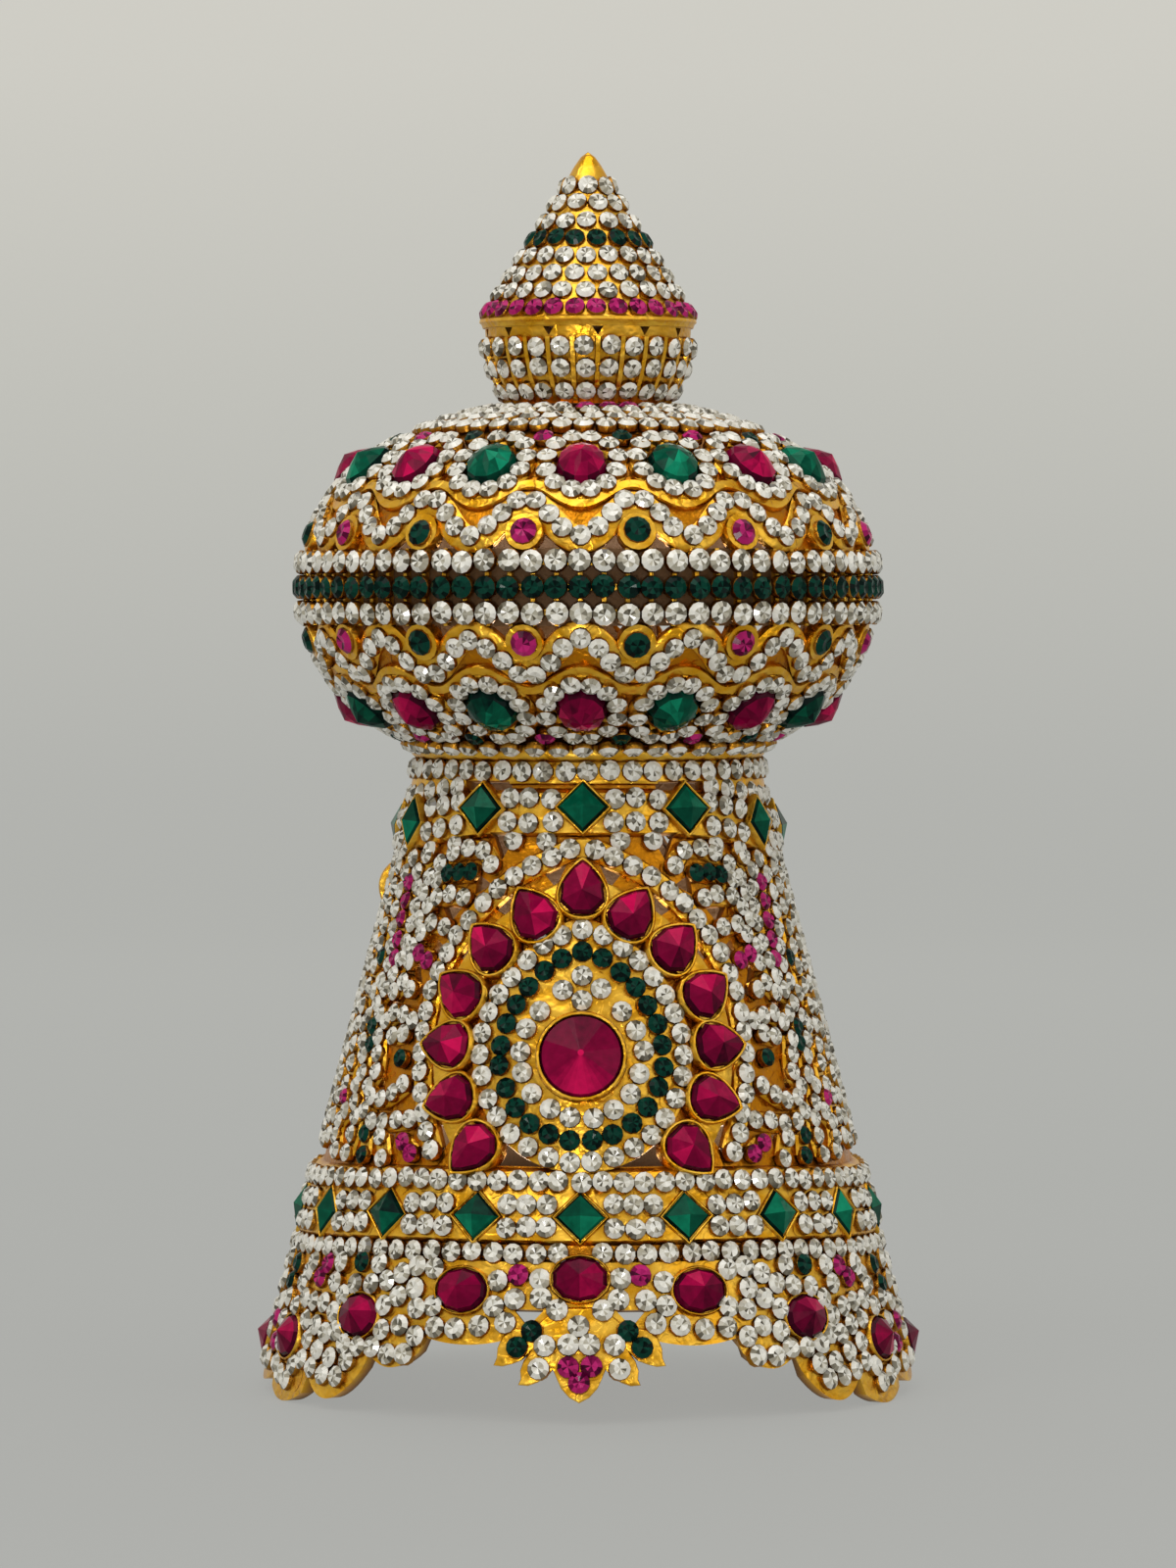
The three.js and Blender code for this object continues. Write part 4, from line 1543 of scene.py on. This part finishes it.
@dataclass
class Rim:
    """Oval stones and crystals above the scalloped rim, and the lotus drop at the front."""

    wall: SkirtWall
    oval: StoneCut = StoneCut(
        Cut.OVAL, Gem.RUBY, 8.4, 6.7, 2.3, 10, tip=0.06, flash=(0.36, 0.34), sparkle=0.1,
    )
    count: int = 16
    front_z: float = 21.0
    fall: float = 13.6
    bed: float = 0.3
    size: float = 3.25
    lift: float = 0.05
    vines: tuple[Vine, ...] = (
        crystals(3, (7.5, 21), (7, 18), (4, 16.5)),
        crystals(6, (15.5, 20.5), (16, 17), (18.5, 14), (27.5, 13.5), (28, 16.5)),
        crystals(2, (12, 18), (13.5, 14.5)),
        crystals(5, (28.5, 22), (33, 22), (39.5, 19.5), (43, 19)),
        crystals(3, (32.5, 19), (39, 16)),
        crystals(3, (31.5, 16), (34.5, 13.5), (38.5, 12.5)),
        crystals(3, (31, 12), (32.5, 9.5), (36.5, 9)),
        crystals(7, (47.5, 18.5), (52, 15.5), (51, 12), (48, 10), (40, 10)),
        crystals(1, (42, 22)),
        crystals(2, (53, 21.5), (54, 18.5)),
        crystals(3, (63.5, 21), (66.5, 17.5)),
        crystals(4, (46, 7.5), (51, 7.5), (59, 9.5)),
        crystals(4, (48, 5), (52, 5), (59.5, 6.5)),
        crystals(3, (53.5, 11), (57, 12), (61, 12.5)),
        crystals(3, (56, 15), (63.5, 15.5)),
        crystals(4, (62.5, 5.5), (64, 3), (70.5, 5)),
        crystals(5, (67.5, 14), (73, 15), (83.5, 12.5), (88, 12)),
        crystals(2, (73, 11.5), (71, 8)),
        crystals(2, (77, 5), (84, 5)),
        crystals(2, (80, 20.5), (81.5, 17)),
        crystals(3, (87, 15.5), (86.5, 19.5), (88, 22.5)),
        crystals(1, (83.5, 9)),
        greens(1, (47, 22)),
        greens(2, (72.5, 20), (74.5, 17)),
        pinks(1, (11.5, 21.5)),
        pinks(2, (57.5, 21), (59.5, 19)),
        pinks(2, (79, 11), (75, 8)),
    )
    drop_half: Line = (
        (0, 3.2), (1.5, 4.0), (2.7, 5.3), (3.4, 6.8), (3.9, 8.0), (4.8, 6.9), (6.2, 6.1), (7.6, 5.6),
        (9.1, 5.7), (8.7, 6.6), (8.8, 7.8), (8.3, 9.2), (7.6, 10.2), (8.7, 9.2), (10.0, 8.7), (11.5, 8.3),
        (12.9, 8.4), (12.4, 9.5), (12.3, 10.9), (11.6, 12.6), (10.2, 13.9), (7.4, 13.9), (6.0, 14.8),
        (4.4, 16.1), (2.2, 17.0),
    )
    drop_stones: tuple[Vine, ...] = (
        crystals(1, (0, 14)),
        crystals(2, (2, 11.5), (6, 11.5)),
        crystals(1, (7, 8)),
        greens(2, (8.5, 13.5), (11, 11)),
        pinks(1, (2, 8.3)),
        pinks(1, (0, 5.9)),
    )
    drop_rise: float = 0.4
    drop_depth: float = 2.2

    def build(self) -> None:
        """Adds the drop, the ovals, which follow the arch of the rim, and the small stones."""
        outline = [*self.drop_half, *((-across, z) for across, z in self.drop_half[:0:-1])]
        parts = [bent_plate(self.wall, outline, self.drop_rise - self.drop_depth, self.drop_rise, 0.35)]
        for i, angle in enumerate(round_angles(self.count), 1):
            z = self.front_z - self.fall * math.sin(math.radians(angle)) ** 2
            place = self.wall.frame(angle, z, 0, self.bed)
            self.oval.add(f"rim_ruby_cut_{i:02d}", [place], f"rim_ruby_{i:02d}")
            parts.append(self.oval.bezel(place, -1.0, 0.4, 0.4))
        add_gold("rim_drop", self.wall, parts)
        stones = ChatonSet("rim", self.wall, self.size)
        stones.grow(self.vines, self.lift, back=True)
        stones.grow(self.drop_stones, self.drop_rise)
        stones.build()


@dataclass
class HalfBulb:
    """Pierced half-shell with oval stones in a ring, a wave of crystals and round accents."""

    wall: BulbWall
    name: str
    side: int
    thickness: float = 2.2
    recess: float = 0.7
    edge: float = 5.7
    foot_z: float = 98.7
    mouth_radius: float = 10.3
    columns: int = 192
    rows: int = 14
    sectors: int = 16
    ruby: StoneCut = StoneCut(
        Cut.OVAL, Gem.RUBY, 8.0, 9.2, 3.5, 11, edge=0.42, star=0.45, flash=(0.52, 0.3),
    )
    emerald: StoneCut = replace(ruby, gem=Gem.EMERALD, flash=(0.46, 0.3))
    shade_below: float = 0.14
    oval_rise: float = 18.3
    oval_sink: float = 0.5
    size: float = 3.1
    ring: Spot = (5.45, 6.15)
    ring_count: int = 12
    ring_width: float = 3.1
    wave: Spot = (10.4, 2.8)
    wave_count: int = 112
    scallops: tuple[tuple[Spot, float, float], ...] = (((9.9, 2.8), 4.2, 0.0), ((13.9, 1.5), 1.7, 0.1))
    rib_foot: float = -1.4
    accent_rise: float = 8.1
    accent_ring: Spot = (2.3, 2.3)
    accent_scale: float = 1.3
    small_rise: float = 22.4
    foot_row: tuple[float, int, float] = (23.6, 46, 0.75)
    mouth_rows: tuple[tuple[float, int, float], ...] = ((24.3, 48, 0.0), (25.5, 42, 4.0), (26.4, 36, 2.0))
    mouth_rise: float = 27.05
    mouth_count: int = 30
    foot_ring: Line = ((24.2, 97.2), (26.7, 97.2), (27.2, 97.7), (27.3, 98.5), (26.8, 99.6), (24.2, 99.6))
    gap: Line = ((8.4, -0.5), (5.4, 2.4), (3.8, 4.0), (2.4, -0.5))

    def z(self, rise: float) -> float:
        """Height at a rise from the equator towards the half's end."""
        return self.wall.middle_z + self.side * rise

    def shell(self) -> Solid:
        """Plain half-shell.

        Returns:
            The shell.
        """
        wall, power = self.wall, self.wall.power
        mouth = wall.half_height * (1 - (self.mouth_radius / wall.reach) ** power) ** (1 / power)
        far = mouth if self.side > 0 else wall.middle_z - self.foot_z
        first, last = (math.asin((rise / wall.half_height) ** (power / 2)) for rise in (self.edge, far))
        turns = np.linspace(first, last, self.rows)
        profile = []
        for sink, line in ((self.recess, turns), (self.thickness, turns[::-1])):
            for turn in line:
                across, up = (part ** (2 / power) for part in (math.cos(turn), math.sin(turn)))
                profile.append(((wall.reach - sink) * across, self.z((wall.half_height - sink) * up)))
        return revolve(profile, self.columns)

    def gaps(self) -> list[Solid]:
        """Solids that cut the gaps beside the accents.

        Returns:
            The solids.
        """
        solids = []
        low, high = (self.wall.reach + end for end in (-CUT_REACH, CUT_REACH))
        for middle in round_angles(self.sectors, 0.5):
            for hand in (-1, 1):
                bm = prism([(hand * x, self.side * y) for x, y in self.gap], None, low, high)
                for vert in bm.verts:
                    vert.co = spot_at(middle + vert.co.x, vert.co.z, self.z(self.edge) + vert.co.y)
                bmesh.ops.recalc_face_normals(bm, faces=bm.faces)
                solids.append(bm)
        return solids

    def level(self, line: Spot, angle: float) -> float:
        """Height of a scalloped line at an angle, nearest the equator at the ovals' middles."""
        middle, swing = line
        return self.z(middle - swing * math.cos(math.radians(self.sectors * angle)))

    def loop(self, spots: Line, width: float, high: float) -> Solid:
        """Closed rib along spots of the shell."""
        return rib(self.wall, spots, width, high, self.rib_foot, closed=True)

    def round_spots(self, angle: float, rise: float, reach: Spot, count: int, start: float) -> list[Spot]:
        """Spots round a stone.

        Args:
            angle: angle of the stone.
            rise: its rise from the equator.
            reach: distances of the spots, across and upwards.
            count: number of spots.
            start: turn of the first spot, as a share of a step.

        Returns:
            The spots.
        """
        turns = [math.tau * (i + start) / count for i in range(count)]
        steps = [(reach[0] * math.sin(turn), reach[1] * math.cos(turn)) for turn in turns]
        return [self.wall.near(angle, self.z(rise), *step) for step in steps]

    def sector(self, number: int, stones: ChatonSet) -> list[Solid]:
        """Sets one sector's ring of crystals and its accents.

        Args:
            number: the sector's number from the front.
            stones: small stones of the half, added to.

        Returns:
            The ribs under them.
        """
        angle = 360 * number / self.sectors
        beside = angle + 180 / self.sectors
        accent = Gem.PINK if number % 2 else Gem.DARK_GREEN
        for spot in self.round_spots(angle, self.oval_rise, self.ring, self.ring_count, 0.5):
            stones.at(*spot, 0.0)
        stones.at(beside, self.z(self.accent_rise), 0.1, accent, self.accent_scale)
        stones.at(beside, self.z(self.small_rise), -0.1, accent)
        return [
            self.loop(self.round_spots(angle, self.oval_rise, self.ring, 28, 0.5), self.ring_width, 0.0),
            self.loop(self.round_spots(beside, self.accent_rise, self.accent_ring, 16, 0.0), 1.3, 0.55),
        ]

    def set_wave(self, stones: ChatonSet) -> None:
        """Sets the wave's stones, evenly spaced along it.

        Args:
            stones: small stones of the half, added to.
        """
        angles = np.arange(0, 360.1, 0.25)
        line = [self.wall.frame(angle, self.level(self.wave, angle)).translation for angle in angles]
        for angle, in evenly(angles[:, None], np.array(line), self.wave_count, closed=True):
            stones.at(angle, self.level(self.wave, angle), 0.0)

    def set_rows(self, stones: ChatonSet) -> None:
        """Sets the level rows near the mouth or the foot.

        Args:
            stones: small stones of the half, added to.
        """
        if self.side < 0:
            rise, count, lift = self.foot_row
            stones.row(self.z(rise), count, lift)
            return
        for rise, count, start in self.mouth_rows:
            stones.row(self.z(rise), count, 0.0, start=start)
        for i, angle in enumerate(round_angles(self.mouth_count)):
            gem = Gem.PINK if i % 10 < 3 else Gem.CRYSTAL
            stones.at(angle, self.z(self.mouth_rise), 0.0, gem)

    def build(self) -> None:
        """Adds the shell, the ribs and the stones."""
        wall, name = self.wall, self.name
        add_gold(f"{name}_shell", wall, [self.shell()], name, depth=self.thickness, gaps=self.gaps())
        stones = ChatonSet(name, wall, self.size)
        ribs = []
        for line, width, high in self.scallops:
            spots = [(float(angle), self.level(line, angle)) for angle in np.arange(0, 360, 1.5)]
            ribs.append(self.loop(spots, width, high))
        self.set_wave(stones)
        for number in range(self.sectors):
            ribs += self.sector(number, stones)
        self.set_rows(stones)
        if self.side < 0:
            ribs.append(revolve(self.foot_ring, 120))
        add_gold(f"{name}_ribs", wall, ribs)
        stones.build()
        for start, cut in enumerate((self.ruby, self.emerald)):
            angles = round_angles(self.sectors)[start::2]
            places = [wall.frame(angle, self.z(self.oval_rise), 0, -self.oval_sink) for angle in angles]
            glow = cut.flash[0] - (self.shade_below if self.side < 0 else 0.0)
            replace(cut, flash=(glow, cut.flash[1])).add(f"{name}_{cut.gem.value}_ovals", places)


@dataclass
class EquatorBand:
    """Three rows of stones in touching cups between the bulb's halves."""

    wall: BulbWall
    columns: int = 156
    count: int = 78
    pitch: float = 3.75
    lift: float = 0.55
    size: float = 3.42
    wire: float = 0.9
    link: float = 0.8
    back: Spot = (2.2, 1.6)
    margin: float = 2.0
    depth: float = 1.2
    rows: tuple[tuple[int, Gem], ...] = ((-1, Gem.CRYSTAL), (0, Gem.DARK_GREEN), (1, Gem.CRYSTAL))

    def hoop(self, depths: Spot, low: float, high: float) -> Solid:
        """Flat hoop between two depths and two heights."""
        inner, outer = (self.wall.reach - depth for depth in depths)
        return revolve(((inner, low), (outer, low), (outer, high), (inner, high)), self.columns)

    def build(self) -> None:
        """Adds the wires behind the cups, the links between them, the hoop behind and the stones."""
        stones = ChatonSet("equator", self.wall, self.size)
        wires = []
        for row, gem in self.rows:
            z = self.wall.middle_z + row * self.pitch
            stones.row(z, self.count, self.lift, gem)
            wires.append(self.hoop((self.wire, 0.0), z - self.wire / 2, z + self.wire / 2))
        low, high = (self.wall.middle_z + end * (self.pitch + self.margin) for end in (-1, 1))
        for angle in round_angles(self.count):
            line = [(angle, z) for z in np.linspace(low, high, 4)]
            wires.append(rib(self.wall, line, self.link, 0.05, -self.wire))
        wires.append(self.hoop(self.back, low, high))
        add_gold("equator_wires", self.wall, wires, "equator_band", depth=self.depth)
        stones.build()


@dataclass
class Finial:
    """Ribbed cup, plain ring and stone-set cone."""

    wall: FinialWall
    columns: int = 96
    thickness: float = 2.0
    sink: float = 0.3
    cup_steps: tuple[float, ...] = (151.5, 153.4, 155.2, 157.0, 159.0, 160.6, 162.0, 163.4)
    cup_rows: tuple[float, ...] = (160.2, 156.9, 153.5)
    cup_count: int = 26
    rib_span: Spot = (151.7, 161.6)
    gap: Line = ((-0.9, 0.6), (0, -0.8), (0.9, 0.6))
    gap_z: float = 162.5
    gap_reach: float = 4.0
    ring: Line = (
        (14.2, 163.3), (16.25, 163.3), (16.45, 163.9), (16.75, 164.15), (16.7, 164.6), (16.1, 165.0),
    )
    cone_z: float = 165.0
    cone_steps: tuple[float, ...] = (
        167.5, 170, 172.5, 175, 177.5, 180, 182.5, 185, 186.5, 188.3, 189.7, 190.3,
    )
    tip_z: float = 190.5
    tip_depth: float = 7.0
    cone_rows: tuple[tuple[float, int, Gem], ...] = (
        (185.1, 8, Gem.CRYSTAL), (182.35, 11, Gem.CRYSTAL), (179.4, 14, Gem.CRYSTAL),
        (176.75, 17, Gem.DARK_GREEN), (174.0, 20, Gem.CRYSTAL), (171.2, 23, Gem.CRYSTAL),
        (168.5, 26, Gem.CRYSTAL), (165.9, 30, Gem.PINK),
    )

    def build_cup(self) -> None:
        """Adds the cup and its ribs."""
        wall = self.wall
        angles = round_angles(self.cup_count, 0.5)
        bowl = [(wall.radius(z) - self.sink, z) for z in self.cup_steps]
        bowl += [(radius - self.thickness, z) for radius, z in bowl[::-1]]
        places = [wall.frame(angle, self.gap_z) for angle in angles[::2]]
        add_gold(
            "finial_cup_bowl", wall, [revolve(bowl, self.columns)], "finial_cup", depth=self.thickness + 0.2,
            gaps=[prism(self.gap, place, -self.gap_reach, self.gap_reach) for place in places],
        )
        lines = [[(angle, float(z)) for z in np.linspace(*self.rib_span, 6)] for angle in angles]
        add_gold("finial_cup_ribs", wall, [rib(wall, line, 0.9, 0.35, -0.8) for line in lines])

    def build(self) -> None:
        """Adds the cup, the ring, the cone and their stones."""
        wall = self.wall
        self.build_cup()
        inner = [(0.0, self.tip_z - self.tip_depth), (wall.radius(self.cone_z) - self.thickness, self.cone_z)]
        cone = [*inner, *self.ring, *((wall.radius(z), z) for z in self.cone_steps), (0.0, self.tip_z)]
        shell = revolve(cone, self.columns, closed=False)
        add_gold("finial_cone_shell", wall, [shell], "finial_cone", depth=self.thickness)
        stones = ChatonSet("finial", wall)
        for z in self.cup_rows:
            stones.row(z, self.cup_count, 0.0)
        for number, (z, count, gem) in enumerate(self.cone_rows):
            stones.row(z, count, 0.0, gem, start=180 / count * (number % 2))
        stones.build()


def stand(data: bpy.types.Light | bpy.types.Camera, place: Place, aim: Place) -> bpy.types.Object:
    """Stands a light or a camera at a place, facing a point.

    Args:
        data: the light or the camera.
        place: its place, in metres.
        aim: point that it faces.

    Returns:
        The new object.
    """
    item = bpy.data.objects.new(data.name, data)
    item.location = place
    item.rotation_euler = (Vector(aim) - Vector(place)).to_track_quat("-Z", "Y").to_euler()
    bpy.context.scene.collection.objects.link(item)
    return item


@dataclass(frozen=True)
class Lamp:
    """Soft light: name, place in metres, width, power in watts, aim and the angle that it fans out to."""

    name: str
    place: Place
    size: float
    power: float
    aim: Place = (0.0, 0.0, 0.09303)
    spread: float = 180.0
    colour: Colour = (1.0, 0.985, 0.96)

    def build(self) -> None:
        """Adds the light."""
        lamp = bpy.data.lights.new(self.name, "AREA")
        lamp.size = self.size
        lamp.energy = self.power
        lamp.spread = math.radians(self.spread)
        lamp.color = self.colour
        stand(lamp, self.place, self.aim).visible_camera = False


@dataclass
class Studio:
    """Pale paper sweep, soft lights and the camera."""

    # painted light: how brightly the paper glows, from the bottom of the view to its top
    paper: PaperFinish = PaperFinish((
        (0.322, 0.325, 0.313), (0.345, 0.352, 0.337), (0.397, 0.402, 0.382), (0.488, 0.487, 0.45),
        (0.592, 0.58, 0.53),
    ))
    floor: tuple[float, ...] = (0.0, 0.1, 0.3, 0.5, 0.7, 0.9, 1.05)
    bend_start: float = 1.2
    bend: float = 0.8
    top: float = 3.0
    columns: int = 96
    view_span: Spot = (-8.57, 5.25)
    lamps: tuple[Lamp, ...] = (
        Lamp("key", (-0.45, -0.65, 1.05), 0.6, 3.1),
        Lamp("fill", (0.9, -0.8, 0.4), 0.7, 1.25),
        Lamp("top", (0.05, -0.15, 0.95), 0.7, 2.9),
        Lamp("bounce", (-0.05, -0.7, 0.06), 0.1, 0.1, (0.0, 0.0, 0.12), 70.0),
        Lamp("hollow", (0.0, 0.0, 0.03), 0.05, 0.04, (0.0, 0.0, 0.2)),
        Lamp("bulb_hollow", (0.0, 0.0, 0.104), 0.03, 0.034, (0.0, 0.0, 0.2)),
    )
    sky: tuple[float, ...] = (1.0, 0.99, 0.97, 1.0)
    sky_strength: float = 0.36
    camera_place: Place = (0.02618, -0.99966, 0.122)
    aim: Place = (0.0, 0.0, 0.09303)
    lens: float = 148.57

    def backdrop(self) -> None:
        """Adds a round floor that curves up into a wall."""
        profile = [(radius, 0.0) for radius in self.floor]
        for turn in np.linspace(0, math.pi / 2, 17):
            across, up = self.bend * math.sin(turn), self.bend * math.cos(turn)
            profile.append((self.bend_start + across, self.bend - up))
        bm = revolve([*profile, (self.bend_start + self.bend, self.top)], self.columns, closed=False)
        bmesh.ops.reverse_faces(bm, faces=[face for face in bm.faces if face.normal.z < -1e-3])
        # share of the camera's view from bottom to top, which sets the paper's painted glow
        way = bm.verts.layers.float.new("way")
        for vert in bm.verts:
            rise = math.atan2(vert.co.z - self.camera_place[2], vert.co.xy.length - self.camera_place[1])
            vert[way] = float(np.interp(math.degrees(rise), self.view_span, UNIT))
        mesh = bpy.data.meshes.new("paper")
        bm.to_mesh(mesh)
        bm.free()
        mesh.shade_smooth()
        mesh.materials.append(self.paper.material())
        sheet = bpy.data.objects.new("paper", mesh)
        bpy.context.scene.collection.objects.link(sheet)
        sheet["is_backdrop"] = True

    def build(self) -> None:
        """Adds the sweep, the lights, the sky and the camera."""
        self.backdrop()
        for lamp in self.lamps:
            lamp.build()
        scene = bpy.context.scene
        scene.world = bpy.data.worlds.new("sky")
        scene.world.use_nodes = True
        sky = scene.world.node_tree.nodes["Background"]
        sky.inputs["Color"].default_value = self.sky
        sky.inputs["Strength"].default_value = self.sky_strength
        scene.view_settings.view_transform = "Standard"
        camera = bpy.data.cameras.new("camera")
        camera.lens = self.lens
        scene.camera = stand(camera, self.camera_place, self.aim)


def write_size() -> None:
    """Works out the CAD box and the dressed crown's box, but keeps neither."""
    boxes = {"cad": CAD_BOX, "visual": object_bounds()}
    {name: [list(corner) for corner in box] for name, box in boxes.items()}


def main() -> None:
    """Builds the crown's looks from the rim up, then the studio."""
    logging.basicConfig(level=logging.INFO, format="%(message)s")
    skirt_wall, bulb_wall = SkirtWall(), BulbWall()
    medallion, fields = Medallion(skirt_wall), SideFields(skirt_wall)
    Skirt(skirt_wall).build(medallion.gaps() + fields.gaps())
    assemblies = (
        medallion, fields, Bands(skirt_wall), Rim(skirt_wall), HalfBulb(bulb_wall, "bulb_lower", -1),
        HalfBulb(bulb_wall, "bulb_upper", 1), EquatorBand(bulb_wall), Finial(FinialWall()), Studio(),
    )
    for assembly in assemblies:
        assembly.build()
    write_size()


if __name__ == "__main__":
    main()
